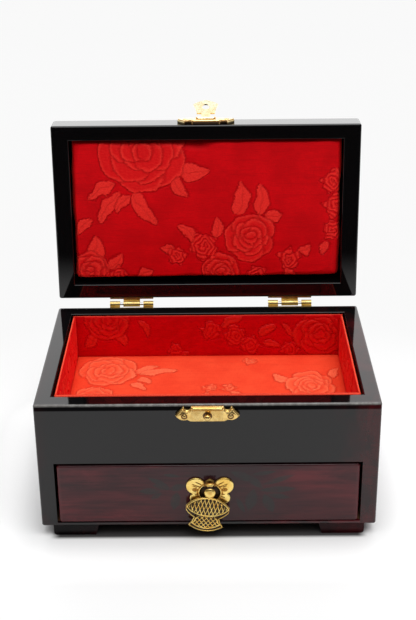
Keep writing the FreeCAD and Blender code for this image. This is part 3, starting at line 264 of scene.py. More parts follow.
def rosewood(name):
    """Streaked red-brown wood with dark leaf sprays stained into it, under a gloss finish."""
    s = Shade(name)
    x, y, _ = s.split(s.where)
    wide = s.noise(95, 5, 0.62, 0.5, stretch=(0.16, 1, 1.0))
    fine = s.noise(420, 4, 0.6, stretch=(0.06, 1, 1.5))
    patch = s.noise(30, 2, 0.5, stretch=(0.5, 1, 1.0))
    colour = s.mix(s.ramp(wide * 0.7 + fine * 0.3, 0.34, 0.66), ROSEWOOD_DARK, ROSEWOOD_LIGHT)
    colour = s.mix(s.ramp(patch, 0.35, 0.7, 0.0, 0.55), colour, ROSEWOOD_PATCH)
    middle = s.ramp(abs(x - DRAWER_MIDDLE_X), *DRAWER_MIDDLE_REACH, 0.45, 0.0)
    colour = s.mix(middle, colour, ROSEWOOD_MIDDLE)
    faint = s.ramp(s.noise(160, 3, 0.6), 0.25, 0.6, 0.30, 0.70)
    colour = s.mix(leaf_spray(s) * faint * s.ramp(y, *DRAWER_FACE_Y), colour, ROSEWOOD_SPRAY)
    colour = s.mix(s.ramp(abs(x), *DRAWER_END_X, 0.0, 0.6), colour, ROSEWOOD_END)
    peel = s.bump(s.noise(30, 3, 0.45), 0.0003, 0.5)
    return s.surface(
        base_color=colour,
        roughness=s.ramp(fine, 0.3, 0.7, 0.36, 0.5),
        specular_ior_level=0.05,
        coat_weight=0.62,
        coat_roughness=0.06,
        coat_ior=CLEAR_COAT_IOR,
        normal=s.bump(fine, 0.00004, 0.5, peel),
        coat_normal=peel,
    )


def wood(name, light, dark):
    """Plain board with grain along the case."""
    s = Shade(name)
    fine = s.noise(900, 3, 0.6, stretch=(0.05, 1, 1))
    grain = s.noise(120, 5, 0.6, 0.8, stretch=(0.18, 1, 1)) * 0.65 + fine * 0.35
    return s.surface(
        base_color=s.mix(s.ramp(grain, 0.32, 0.68), dark, light),
        roughness=s.ramp(fine, 0.3, 0.7, 0.55, 0.72),
        specular_ior_level=0.35,
        normal=s.bump(grain, 0.00012, 0.6),
    )


def base_board(name):
    """The bottom board: lacquered on its front edge and bare inside."""
    s = Shade(name)
    x, y, _ = s.split(s.where)
    grain = s.noise(120, 5, 0.6, 0.8, stretch=(0.18, 1, 1))
    rub = s.ramp(s.noise(90, 4, 0.6, stretch=(0.3, 1, 1)), 0.35, 0.62)
    dark = s.mix(rub * s.ramp(x, *BASE_RUB_X, 0.25, 0.9), BASE_BLACK, BASE_RUBBED)
    front = s.ramp(y, *BASE_FRONT_Y)
    return s.surface(
        base_color=s.mix(front, s.mix(s.ramp(grain, 0.3, 0.7), BARE_DARK, BARE_LIGHT), dark),
        roughness=s.ramp(front, 0.0, 1.0, 0.65, 0.22),
        specular_ior_level=0.5,
        normal=s.bump(grain, 0.0001, 0.5),
    )


def brocade(name, colours, sheen):
    """Red jacquard cloth: satin roses and leaves on a plain ground, from the mesh's painted figure."""
    s = Shade(name)
    # The third colour darkens the ground's threads, and is also the colour of painted shade in the figure's dark
    # lines
    ground, figure, dark_thread_and_shade = colours
    motif, line, tone = s.attribute("figure")
    warp = s.noise(2600, 2, 0.55, stretch=(0.08, 1, 1))
    weft = s.noise(2300, 2, 0.55, stretch=(1, 0.08, 0.3))
    thread = warp * 0.55 + weft * 0.45
    float_stitch = s.noise(1500, 1, 0.4, stretch=(1, 1, 1), turn=(0.6, 0.8, 0.7))
    plain = s.mix(s.ramp(thread, 0.35, 0.68, 0.0, 0.30), ground, dark_thread_and_shade)
    plain = s.mix(s.ramp(s.noise(520, 3, 0.6, stretch=(0.05, 1, 1)), 0.50, 0.75, 0.0, 0.22), plain, dark_thread_and_shade)
    plain = s.mix(s.ramp(s.noise(55, 2, 0.5), 0.35, 0.70, 0.0, 0.25), plain, dark_thread_and_shade)
    satin = s.mix(tone * 0.85, ground, figure)
    satin = s.mix(s.ramp(float_stitch, 0.40, 0.60, 0.0, 0.35), satin, plain)
    # The figure's dark line is partly painted shade, round the raised forms and along the cards' edges, and partly
    # veins and woven lines
    colour = s.mix(line * 0.34, s.mix(motif * 0.9, plain, satin), dark_thread_and_shade)
    weave = s.bump(thread, 0.00012, 0.55)
    relief = s.bump(tone * 0.5 + motif * 0.5 - line, 0.0006, 0.7, weave)
    return s.surface(
        base_color=colour,
        roughness=s.ramp(motif, 0.0, 1.0, 0.62, 0.46),
        specular_ior_level=0.06,
        sheen_weight=sheen,
        sheen_roughness=0.35,
        sheen_tint=CLOTH_SHEEN,
        normal=s.bump(float_stitch * motif, 0.00016, 0.5, relief),
    )


def flock(name):
    """Short red pile."""
    s = Shade(name)
    pile = s.noise(1400, 3, 0.7)
    colour = s.mix(s.ramp(s.noise(60, 3, 0.5), 0.3, 0.7), PILE_DARK, PILE_LIGHT)
    return s.surface(
        base_color=s.mix(s.ramp(pile, 0.35, 0.65, 0.0, 0.4), colour, PILE_ROOT),
        roughness=s.ramp(pile, 0.2, 0.8, 0.85, 1.0),
        specular_ior_level=0.1,
        sheen_weight=0.5,
        sheen_roughness=0.5,
        sheen_tint=PILE_SHEEN,
        normal=s.bump(pile, 0.0003, 0.7),
    )


def brass(name, bright, dull, rough, stain=BRASS_TARNISH, painted=False, rings=(), plane=(1, 0, 1)):
    """Stamped brass, browned where its mesh is painted so, with patina, painted shade and painted highlight, and
    in dark rings in a plane round its nails and the latch's peg.
    """
    s = Shade(name)
    cloud = s.noise(160, 4, 0.6, 0.3)
    brush = s.noise(1500, 2, 0.5, stretch=(0.2, 1, 1))
    dark = s.ramp(s.noise(1200, 3, 0.6), 0.62, 0.80, 0.0, 0.35)
    if painted:
        dark = s.math("MAXIMUM", dark, s.attribute("tarnish_and_shade")[0])
    for centre, inner, outer in rings:
        gap = s.add("VectorMath", {0: s.where, 1: centre}, operation="SUBTRACT")
        flat = s.add("VectorMath", {0: gap, 1: plane}, operation="MULTIPLY")
        away = s.add("VectorMath", {0: flat}, output=1, operation="LENGTH")
        ring = s.band(away, (inner - 0.0002, inner + 0.0001), (outer + 0.0005, outer - 0.0001))
        dark = s.math("MAXIMUM", dark, ring * 0.9)
    colour = s.mix(s.ramp(cloud, 0.35, 0.68), bright, dull)
    colour = s.mix(s.ramp(dark, 0.0, 0.55), colour, BRASS_HONEY)
    return s.surface(
        base_color=s.mix(s.ramp(dark, 0.40, 0.95), colour, stain),
        metallic=s.ramp(dark, 0.3, 1.0, 1.0, 0.35),
        roughness=s.ramp(brush, 0.3, 0.7, rough - 0.05, rough + 0.08) + dark * 0.25,
        normal=s.bump(cloud * 0.7 + brush * 0.3, 0.00006, 0.6),
    )


def metal(name, colour, other, rough):
    """Machined metal with faint tool marks."""
    s = Shade(name)
    marks = s.noise(1100, 2, 0.5, stretch=(1, 0.1, 1))
    return s.surface(
        base_color=s.mix(s.ramp(s.noise(120, 3, 0.5), 0.35, 0.65), colour, other),
        metallic=1.0,
        roughness=s.ramp(marks, 0.3, 0.7, rough - 0.06, rough + 0.08),
        normal=s.bump(marks, 0.00003, 0.4),
    )


# The nails and the peg of the latch, with the inner and outer radius of a dark ring round each, in metres. The
# ring round the peg stands for the dish it sits in, as patina and painted shade
NAIL_X = 0.0146
STRIKE_NAIL, STRIKE_PEG = (-0.08, 0.0933), (-0.08, 0.0937)
LID_NAIL = (0.0727, 0.2)
strike_rings = [((side * NAIL_X, *STRIKE_NAIL), 0.0012, 0.0018) for side in (1, -1)]
strike_rings.append(((0.0, *STRIKE_PEG), 0.0018, 0.0027))
hasp_rings = [((side * NAIL_X, *LID_NAIL), 0.0012, 0.0017) for side in (1, -1)]

finishes = {
    "lacquer": lacquer("lacquer_black", 0.85, 0.86),
    "rosewood": rosewood("rosewood_gloss"),
    "plain_wood": wood("board_plain", srgb(168, 124, 82), srgb(122, 84, 52)),
    "brocade": brocade("cloth_lid", LID_CLOTH, 0.25),
    "flock": flock("pile_red"),
    "pale_brass": brass("brass_pale", BRASS_BRIGHT, BRASS_DULL, 0.24),
    "brass_nail": brass("brass_nails", BRASS_BRIGHT, BRASS_DULL, 0.30),
    "antique_brass": brass("brass_cast", GOLD_BRIGHT, GOLD_DULL, 0.28, GOLD_TARNISH, painted=True),
    "bright_steel": metal("steel_bright", srgb(200, 200, 202), srgb(176, 176, 180), 0.28),
    "comb_steel": metal("steel_comb", srgb(170, 172, 178), srgb(140, 142, 150), 0.32),
    "spring_steel": metal("steel_spring", srgb(96, 104, 122), srgb(70, 76, 92), 0.34),
    "movement_plate": metal("plate_plated", srgb(186, 184, 178), srgb(166, 164, 158), 0.38),
    "movement_brass": metal("brass_gears", srgb(214, 178, 98), srgb(196, 154, 76), 0.30),
    "cast_block": metal("block_cast", srgb(120, 120, 122), srgb(96, 96, 100), 0.5),
}
# Lit and shaded copies of the lid's cloth for the tray, as painted light and shade
tray_cloth = brocade("cloth_tray_floor", FLOOR_CLOTH_PAINTED_LIT, 0.3)
wall_cloth = brocade("cloth_tray_wall", WALL_CLOTH_PAINTED_SHADE, 0.15)
side_cloth = brocade("cloth_tray_side", SIDE_CLOTH_PAINTED_LIT, 0.2)
strike_brass = brass(
    "brass_strike", srgb(250, 218, 142), srgb(232, 192, 112), 0.28, painted=True, rings=strike_rings
)
hasp_brass = brass(
    "brass_hasp", srgb(252, 230, 176), srgb(236, 204, 140), 0.30,
    painted=True, rings=hasp_rings, plane=(1, 1, 0),
)
hinge_brass = brass("brass_hinge", srgb(214, 190, 128), srgb(184, 156, 92), 0.44)
tongue_brass = brass("brass_tongue", srgb(250, 236, 200), srgb(240, 218, 168), 0.22)

# Nodes that get a look of their own in place of their slot's
LEAVES = ("left_hinge_case_leaf", "left_hinge_lid_leaf", "right_hinge_case_leaf", "right_hinge_lid_leaf")
FEET = ("front_left_foot", "front_right_foot", "rear_left_foot", "rear_right_foot")
own_looks = [
    (base_board("board_base"), ("bottom_panel",)),
    (tongue_brass, ("hasp_tongue",)),
    (hinge_brass, (*LEAVES, "pull_pin")),
    # The feet get their own lacquer: less red, and with a thin coat whose weak reflection is painted shade
    (lacquer("lacquer_feet_painted_shade", 0.5, 0.30), FEET),
]
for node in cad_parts.values():
    for holder in node.material_slots:
        holder.material = finishes[holder.material.name.split(".")[0]]
for look, nodes in own_looks:
    for node in nodes:
        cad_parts[node].material_slots[0].material = look


# Meshes

SAME_POINT = 1e-7
WAVES, WAVE_SUM = 7, 3.2


def new_piece(name, points, faces, material, smooth=True):
    """A mesh object from points in metres."""
    mesh = bpy.data.meshes.new(name)
    mesh.from_pydata([tuple(p) for p in points], [], [tuple(f) for f in faces])
    mesh.validate()
    mesh.materials.append(material)
    piece = bpy.data.objects.new(name, mesh)
    bpy.context.scene.collection.objects.link(piece)
    mesh.polygons.foreach_set("use_smooth", [smooth] * len(mesh.polygons))
    mesh.update()
    return piece


def quads(rows, count, closed=True, wrap=False):
    """Faces between rows of count points. Closed joins each row's ends, and wrap the last row to the first."""
    faces = []
    for row in range(rows if wrap else rows - 1):
        here, there = row * count, (row + 1) % rows * count
        for a in range(count if closed else count - 1):
            b = (a + 1) % count
            faces.append((here + a, here + b, there + b, there + a))
    return faces


def caps(rows, count):
    """The first and the last row as faces that look out."""
    return [tuple(range(count))[::-1], tuple(range((rows - 1) * count, rows * count))]


def close_up(piece):
    """Joins points that lie on each other, drops faces without area and turns the others outward."""
    made = bmesh.new()
    made.from_mesh(piece.data)
    bmesh.ops.remove_doubles(made, verts=made.verts, dist=SAME_POINT)
    bmesh.ops.recalc_face_normals(made, faces=made.faces)
    made.to_mesh(piece.data)
    made.free()
    piece.data.update()


def paint(piece, name, red, green, blue):
    """Writes a colour attribute on a piece's vertices."""
    layer = piece.data.color_attributes.new(name, "FLOAT_COLOR", "POINT")
    colours = np.stack([red, green, blue, np.ones(len(red))], 1).astype(np.float32)
    layer.data.foreach_set("color", colours.ravel())


def coordinates(piece):
    flat = np.zeros(len(piece.data.vertices) * 3)
    piece.data.vertices.foreach_get("co", flat)
    return flat.reshape(-1, 3)


def smoothstep(value, low, high):
    share = np.clip((value - low) / (high - low), 0, 1)
    return share * share * (3 - 2 * share)


def waver(u, v, step, seed):
    """A smooth unevenness between about -1 and 1 over flat points, with swells about a step apart."""
    draw = np.random.default_rng(seed)
    total = np.zeros(len(u))
    for _ in range(WAVES):
        angle, phase = draw.uniform(0, 2 * math.pi, 2)
        pace = 2 * math.pi / (step * draw.uniform(0.7, 1.4))
        total += np.sin(pace * (u * math.cos(angle) + v * math.sin(angle)) + phase)
    return total / WAVE_SUM


# The figure of the cloth. Lengths are in millimetres

ANY_TURN = 6.28
SWELL, SWELL_STEP = 0.8, 11
TREMBLE, TREMBLE_STEP = 0.18, 3.0
STITCH_STEP, STITCH_SHARE = 1.9, 0.12
SMALL_ROSE = 12
# Rings of petals: how many, their way out, and their half width and half length, as shares of the radius
PETALS = ((5, 0.58, 0.58, 0.44), (5, 0.40, 0.44, 0.36), (4, 0.22, 0.34, 0.28), (2, 0.08, 0.24, 0.18))


class Figure:
    """Roses and leaves of a jacquard, woven one over another at flat points in millimetres."""

    def __init__(self, u, v, roses, leaves):
        self.u = u + SWELL * waver(u, v, SWELL_STEP, 1) + TREMBLE * waver(u, v, TREMBLE_STEP, 2)
        self.v = v + SWELL * waver(u, v, SWELL_STEP, 3) + TREMBLE * waver(u, v, TREMBLE_STEP, 4)
        self.stitch = waver(u * 0.5, v, STITCH_STEP, 5)
        self.motif, self.line, self.tone = np.zeros((3, len(u)))
        for leaf in leaves:
            self.leaf(*leaf)
        for index, (x, y, size) in enumerate(roses):
            draw = self.scribble if size < SMALL_ROSE else self.rose
            draw(x, y, size, index * 7 + 3)

    def lay(self, edge, tone):
        """Weaves a form over what is there. Edge is the way in from its outline, with a dark line outside it that
        is painted shade of the raised form on what lies under it.
        """
        edge = edge + 0.25 * self.stitch
        tone = np.clip(tone + STITCH_SHARE * self.stitch, 0, 1)
        cover = smoothstep(edge, -0.15, 0.35)
        # Painted shade: a dark band just outside the form's outline
        shade = smoothstep(edge, -1.5, -0.3) * (1 - cover)
        self.motif = np.maximum(self.motif * (1 - cover), cover)
        self.tone = self.tone * (1 - cover) + tone * cover
        self.line = np.maximum(self.line * (1 - cover), shade)

    def lobe(self, x, y, long, wide, angle, light):
        """A petal: plain inside, with a bright band along its outer rim."""
        du, dv = self.u - x, self.v - y
        along = (du * math.cos(angle) + dv * math.sin(angle)) / long
        across = (dv * math.cos(angle) - du * math.sin(angle)) / wide
        edge = (1 - np.hypot(along, across)) * min(long, wide)
        band = smoothstep(edge, 2.6, 0.9) * smoothstep(along, -0.7, 0.3)
        self.lay(edge, light * (0.30 + 0.70 * band))

    def rose(self, x, y, size, seed):
        draw = np.random.default_rng(seed)
        turn = draw.uniform(0, ANY_TURN)
        for count, away, wide, long in PETALS:
            for index in range(count):
                angle = turn + index * 2 * math.pi / count + draw.uniform(-0.15, 0.15)
                grow = draw.uniform(0.85, 1.15)
                at_x, at_y = x + size * away * math.cos(angle), y + size * away * math.sin(angle)
                self.lobe(at_x, at_y, size * long * grow, size * wide * grow, angle, draw.uniform(0.7, 1.0))
            turn += 0.65 + draw.uniform(0, 0.3)

    def scribble(self, x, y, size, seed):
        """A small rose as a few wavering arcs one inside another."""
        draw = np.random.default_rng(seed)
        du, dv = self.u - x, self.v - y
        away, angle = np.hypot(du, dv), np.arctan2(dv, du)
        first, second = draw.uniform(0, ANY_TURN, 2)
        outline = size * (0.88 + 0.13 * np.sin(5 * angle + first) + 0.08 * np.sin(9 * angle + second))
        swirl = away * 2.1 + 1.3 * np.sin(2 * angle + second) + 0.9 * np.sin(5 * angle + first) - angle
        self.lay(outline - away, 0.45 + 0.5 * np.sin(swirl))
        inside = smoothstep(outline - away, 0.0, 0.6)
        self.line = np.maximum(self.line, inside * smoothstep(np.sin(swirl), -0.35, -0.9) * 0.8)

    def leaf(self, x, y, tip_x, tip_y, half):
        """A toothed leaf with ribs and a dark vein, bent a little to one side."""
        length = math.hypot(tip_x - x, tip_y - y)
        cos, sin = (tip_x - x) / length, (tip_y - y) / length
        du, dv = self.u - x, self.v - y
        along = (du * cos + dv * sin) / length
        across = dv * cos - du * sin - half * 0.35 * np.sin(np.clip(along, 0, 1) * math.pi)
        width = half * np.clip(4 * along * (1 - along), 0, 1) ** 0.7 * (1.15 - 0.5 * along)
        saw = 0.15 * np.sin(along * length * 2.4)
        edge = np.where((along > 0) & (along < 1), width + saw * (width > 1.5) - np.abs(across), -2.0)
        ribs = 0.5 + 0.5 * np.sin(along * length * 2.2 - np.abs(across) * 1.6)
        self.lay(edge, 0.85 + 0.25 * ribs)
        vein = smoothstep(np.abs(across), 0.7, 0.2) * smoothstep(edge, 0.2, 0.8)
        self.line = np.maximum(self.line, 0.55 * vein)

    def lift(self):
        """How high the weave stands, from about -0.5 to 1."""
        return self.motif * (0.35 + 0.65 * self.tone) - 0.5 * self.line


# Each rose is x, y, radius and each leaf is base, tip, half width, in millimetres on its own panel
LID_ROSES = [
    (-46, 20, 30), (9.4, 112, 14), (-2.6, 92, 11), (-22, 99, 7), (32, 85, 18), (60.2, 102, 8.5),
    (91, 43, 9), (94, 61, 10), (92, 80, 8), (-86, 110, 15), (-66, 114, 7), (36, 115, 8),
]
LID_LEAVES = [
    (-66, 43, -85, 55.5, 5.5), (-62, 50, -78, 73, 5.5), (-55, 52, -66, 66, 3.8), (-53, 50, -36, 74, 6.0),
    (-22, 32, 2, 34, 7.5), (-24, 38, -14, 54, 5.0), (22, 68, 25, 43, 6.5), (37, 68, 39, 45, 6.0),
    (42, 68, 56, 67, 5.0), (-8, 88, -21, 76, 5.5), (6, 84, 7, 70, 5.0), (14, 88, 20, 74, 4.5),
    (-24, 98, -34, 92, 4.0), (90, 50, 93, 33, 4.5), (88, 88, 84, 99, 4.0), (-86, 104, -81, 82, 7.0),
    (-72, 108, -62, 96, 5.0), (-84, 70, -95, 82, 4.0), (66, 96, 76, 92, 4.0), (58, 110, 66, 119, 4.0),
    (-40, 110, -52, 118, 4.0),
]
FLOOR_ROSES = [
    (-72, 14, 20), (-79, -22, 15), (2, -10, 5.5), (14.5, -10, 5.5), (73, -7, 17), (-22, -50, 16),
    (54, -52, 15), (30, 26, 5),
]
FLOOR_LEAVES = [
    (-52, 10, -36, 20, 4), (-50, 8, -21, 14, 4), (-50, 2, -40, -3, 3.5), (-55, -4, -44, -12, 4),
    (0, -16, -7, -22, 3), (16, -16, 24, -22, 3), (58, -2, 46, 8, 4.5), (88, 2, 94, 16, 4),
    (-36, -44, -52, -36, 5), (-8, -50, 10, -60, 5), (40, -52, 26, -44, 4), (66, -60, 84, -58, 4),
]
BACK_ROSES = [(-74, 97, 16), (2, 88, 8), (20, 84, 9), (31, 76, 8), (82, 85, 18), (60, 72, 7), (-24, 72, 6)]
BACK_LEAVES = [
    (-82, 88, -90, 74, 4), (-68, 86, -60, 76, 4), (-14, 70, -30, 68, 3), (10, 92, 26, 99, 4),
    (38, 84, 50, 92, 4), (40, 78, 54, 74, 3), (64, 84, 54, 94, 3), (-50, 96, -42, 84, 3),
]
SIDE_ROSES = [(-42, 84, 13), (4, 92, 10), (22, 74, 9)]
SIDE_LEAVES = [(-30, 80, -16, 74, 4), (-54, 92, -64, 98, 4), (12, 84, 16, 70, 3), (-10, 96, -20, 88, 4)]


# The padded panel in the lid, as it lies when the lid is shut. Its front looks down

PAD_HALF = 97.5
PAD_NEAR, PAD_FAR = 11.1 + MODEL_SHIFT, 120.4 + MODEL_SHIFT
PAD_FRONT_Z, PAD_BACK_Z = 103.9, 114.8
PAD_START_INSET, PAD_START_FRONT, PAD_START_BACK = 0.3, 2.2, 0.6
PAD_VOXEL, PAD_SUBDIVISIONS = 5.0, 3
PAD_PRESSURE, PAD_SIM_FRAMES = 4.0, 20
PAD_CAP, PAD_SIDE_CAP = 6.0, 0.6
PAD_SPREAD, PAD_SHORT = 1.7, 1.6
PAD_FULL, PAD_FIGURE, PAD_SKIN = 2.6, 0.30, 0.05
BOX_FACES = [(0, 2, 3, 1), (4, 5, 7, 6), (0, 1, 5, 4), (2, 6, 7, 3), (0, 4, 6, 2), (1, 3, 7, 5)]


def apply_modifiers(piece):
    """Replaces a piece's mesh by what its modifiers make of it."""
    bpy.context.view_layer.update()
    graph = bpy.context.evaluated_depsgraph_get()
    made = bpy.data.meshes.new_from_object(piece.evaluated_get(graph))
    old = piece.data
    piece.modifiers.clear()
    piece.data = made
    bpy.data.meshes.remove(old)


def blow_up(piece):
    """Swells a closed mesh by cloth simulation. Each point's move is capped, and more so sideways."""
    before = coordinates(piece)
    cloth = piece.modifiers.new("swell", "CLOTH")
    settings = cloth.settings
    settings.use_pressure = True
    settings.uniform_pressure_force = PAD_PRESSURE
    settings.effector_weights.gravity = 0
    settings.quality = 6
    settings.mass = 0.3
    settings.tension_stiffness = 20
    settings.compression_stiffness = 20
    cloth.point_cache.frame_start = 1
    cloth.point_cache.frame_end = PAD_SIM_FRAMES
    scene = bpy.context.scene
    for number in range(1, PAD_SIM_FRAMES + 1):
        scene.frame_set(number)
    apply_modifiers(piece)
    move = coordinates(piece) - before
    move[:, :2] = np.clip(move[:, :2], -PAD_SIDE_CAP * MM, PAD_SIDE_CAP * MM)
    size = np.linalg.norm(move, axis=1, keepdims=True)
    share = np.minimum(1.0, PAD_CAP * MM / np.maximum(size, 1e-9))
    piece.data.vertices.foreach_set("co", (before + move * share).ravel())
    piece.data.update()
    scene.frame_set(1)


def subdivide(piece, levels):
    smooth = piece.modifiers.new("smooth", "SUBSURF")
    smooth.levels = levels
    smooth.render_levels = levels
    apply_modifiers(piece)
    piece.data.polygons.foreach_set("use_smooth", [True] * len(piece.data.polygons))


def make_lid_pad():
    xs = (-PAD_HALF + PAD_START_INSET, PAD_HALF - PAD_START_INSET)
    ys = (PAD_NEAR + PAD_START_INSET, PAD_FAR - PAD_START_INSET)
    zs = (PAD_FRONT_Z + PAD_START_FRONT, PAD_BACK_Z - PAD_START_BACK)
    corners = [(x * MM, y * MM, z * MM) for z in zs for y in ys for x in xs]
    pad = new_piece("lid_cushion", corners, BOX_FACES, finishes["brocade"])
    remesh = pad.modifiers.new("remesh", "REMESH")
    remesh.mode = "VOXEL"
    remesh.voxel_size = PAD_VOXEL * MM
    apply_modifiers(pad)
    blow_up(pad)
    subdivide(pad, PAD_SUBDIVISIONS)
    x, y, z = (coordinates(pad) / MM).T
    front = smoothstep(z, PAD_BACK_Z - 3.0, PAD_FRONT_Z + 3.0)
    loose = 0.5 * np.sin(y * 0.09 + 1.0) * np.sign(x) + 0.3 * np.sin(y * 0.23)
    x = x + np.sign(x) * (PAD_SPREAD + loose) * smoothstep(np.abs(x), 82.0, 95.0)
    y = y - PAD_SPREAD * smoothstep(y, PAD_NEAR + 14.0, PAD_NEAR + 2.0)
    y = y - PAD_SHORT * smoothstep(y, PAD_FAR - 16.0, PAD_FAR - 2.0)
    edge = np.minimum(PAD_HALF - np.abs(x), np.minimum(y - PAD_NEAR, PAD_FAR - y))
    ripple = 0.35 * np.sin(x * 0.11 + 1.3) + 0.25 * np.sin(x * 0.23 + y * 0.05)
    z = z + front * ripple * smoothstep(edge, 14.0, 2.0)
    z = z - front * PAD_FULL * smoothstep(edge, 24.0, 4.0) * smoothstep(edge, 0.0, 3.0)
    figure = Figure(x, y - MODEL_SHIFT, LID_ROSES, LID_LEAVES)
    z = z - front * PAD_FIGURE * figure.lift()
    x = np.clip(x, -PAD_HALF + PAD_SKIN, PAD_HALF - PAD_SKIN)
    y = np.clip(y, PAD_NEAR + PAD_SKIN, PAD_FAR - PAD_SKIN)
    z = np.clip(z, PAD_FRONT_Z - 1.2, PAD_BACK_Z - PAD_SKIN)
    pad.data.vertices.foreach_set("co", (np.stack([x, y, z], 1) * MM).ravel())
    paint(pad, "figure", figure.motif * front, figure.line * front, figure.tone)
    pad.data.materials.clear()
    pad.data.materials.append(finishes["brocade"])
    pad.data.transform(lid_matrix())
    pad.data.update()
    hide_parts("lid_pad")
    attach(pad, "lid")


# The cloth-covered cards and pads of the tray. Lengths are in millimetres

CARD_BOTTOM, CARD_TOP = 65.2, 100.3
CARD_HALF = 98.0
CARD_FRONT, CARD_BACK = -70.06, 37.44
CARD = 2.0
FLOOR_PAD = 2.5
CLOTH_STEP, LINING_STEP = 0.7, 2.0
EDGE_RINGS = 6
FIGURE_HEIGHT, WALL_FIGURE, FULL_FIGURE = 0.22, 0.22, 1.0
X, Y, Z = (np.array(axis, float) for axis in ((1, 0, 0), (0, 1, 0), (0, 0, 1)))


def slab(name, place, size, step, material, motifs, flat, puff, wrinkle, gain=WALL_FIGURE):
    """A covered card: a fine grid on its face, rolled edges, and a plain back.

    Place is the middle of its back and the ways along, up and out. Size is length, height and thickness.
    Flat is what to multiply along by and to add along and up, for where the figure's own panel has a point.
    """
    origin, along, up, out = place
    length, height, thickness = size
    radius = thickness / 2
    half_u, half_v = length / 2 - radius, height / 2 - radius
    count_u, count_v = max(2, round(2 * half_u / step)), max(2, round(2 * half_v / step))
    grid = np.meshgrid(np.linspace(-half_u, half_u, count_u + 1), np.linspace(-half_v, half_v, count_v + 1))
    u, v = (side.ravel() for side in grid)
    w = np.full(len(u), thickness)
    columns = count_u + 1
    faces = quads(count_v + 1, columns, closed=False)
    loop = list(range(columns))
    loop += [r * columns + count_u for r in range(1, count_v + 1)]
    loop += [count_v * columns + c for c in range(count_u - 1, -1, -1)]
    loop += [r * columns for r in range(count_v - 1, 0, -1)]
    rim_u, rim_v = u[loop], v[loop]
    push_u = np.where(np.abs(rim_u) > half_u - 1e-6, np.sign(rim_u), 0)
    push_v = np.where(np.abs(rim_v) > half_v - 1e-6, np.sign(rim_v), 0)
    ring = loop
    for number in range(1, EDGE_RINGS + 1):
        angle = math.pi * number / EDGE_RINGS
        last, ring = ring, list(range(len(u), len(u) + len(loop)))
        u = np.concatenate([u, rim_u + push_u * radius * math.sin(angle)])
        v = np.concatenate([v, rim_v + push_v * radius * math.sin(angle)])
        w = np.concatenate([w, np.full(len(loop), radius + radius * math.cos(angle))])
        faces += zip(last, ring, ring[1:] + ring[:1], last[1:] + last[:1])
    faces.append(ring)
    figure = Figure(u * flat[0] + flat[1], v + flat[2], *motifs)
    front = smoothstep(w, thickness * 0.5, thickness)
    edge = np.minimum(half_u - np.abs(u), half_v - np.abs(v))
    swell = puff * smoothstep(edge, -radius, 9.0)
    creases = wrinkle * (np.sin(u * 0.9 + np.sin(v * 0.35) * 2.0) * 0.5 + np.sin(u * 0.37 + v * 0.8) * 0.5)
    creases = creases * (0.35 + 0.65 * np.sin(u * 0.041 + 0.6) ** 2)
    w = w + front * (swell + creases + FIGURE_HEIGHT * figure.lift())
    points = np.array(origin) + np.outer(u, along) + np.outer(v, up) + np.outer(w, out)
    piece = new_piece(name, points * MM, faces, material)
    fold = (1 - front) * (v > 0) * (gain < FULL_FIGURE)
    # Painted shade: the cloth darkens within 4 mm of the card's edges
    painted_edge_shade = smoothstep(edge, 4.0, -radius) * front * 0.8
    motif, line = np.maximum(figure.motif * front, fold), np.maximum(figure.line * front, painted_edge_shade)
    paint(piece, "figure", motif, line, np.maximum(figure.tone * gain * front, fold))
    close_up(piece)
    return piece


def make_tray():
    height = CARD_TOP - CARD_BOTTOM
    middle_y, middle_z = (CARD_FRONT + CARD_BACK) / 2, (CARD_TOP + CARD_BOTTOM) / 2
    depth = CARD_BACK - CARD_FRONT - 2 * CARD
    wall = (2 * CARD_HALF, wall_cloth, (BACK_ROSES, BACK_LEAVES), (-1, 0, middle_z))
    end = (depth, side_cloth, (SIDE_ROSES, SIDE_LEAVES), (1, middle_y, middle_z))
    cards = [
        ("back", ((0, CARD_BACK, middle_z), -X, Z, -Y), wall),
        ("front", ((0, CARD_FRONT, middle_z), X, Z, Y), wall),
        ("left", ((-CARD_HALF, middle_y, middle_z), Y, Z, X), end),
        ("right", ((CARD_HALF, middle_y, middle_z), -Y, Z, -X), end),
    ]
    for side, place, (length, cloth, motifs, flat) in cards:
        size = (length, height, CARD)
        piece = slab("tray_cloth_" + side, place, size, CLOTH_STEP, cloth, motifs, flat, 0.25, 0.16)
        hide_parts("tray_lining_" + side)
        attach(piece, "case")
    place = ((0, middle_y, CARD_BOTTOM), X, Y, Z)
    size = (2 * (CARD_HALF - CARD), depth, FLOOR_PAD)
    motifs, flat = (FLOOR_ROSES, FLOOR_LEAVES), (1, 0, middle_y)
    pad = slab("tray_cloth_floor", place, size, CLOTH_STEP, tray_cloth, motifs, flat, 0.3, 0.05, FULL_FIGURE)
    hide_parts("tray_floor_pad")
    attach(pad, "case")


def make_drawer_pad():
    lo, hi = (np.array(corner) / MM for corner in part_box("drawer_pad"))
    place = ((*((lo + hi) / 2)[:2], lo[2]), X, Y, Z)
    pile = finishes["flock"]
    piece = slab("drawer_lining", place, hi - lo, LINING_STEP, pile, ((), ()), (1, 0, 0), 0.2, 0.05)
    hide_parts("drawer_pad")
    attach(piece, "drawer")


# Brass pieces: the drawer pull and the plates of the latch. Lengths are in millimetres

# How far up from straight forward the painted highlight on a rolled bar is turned
BAR_SHINE = math.radians(15)
BAR_SIDES = 20
BAR_ROUND = 0.3
RIB_TURNS = np.linspace(math.pi, 0, 7)
RIB_ACROSS = np.array([-1.0, *np.cos(RIB_TURNS), 1.0])
RIB_RISE = np.array([-0.35, *np.sin(RIB_TURNS), -0.35])
BLOCK_STEP = 0.6


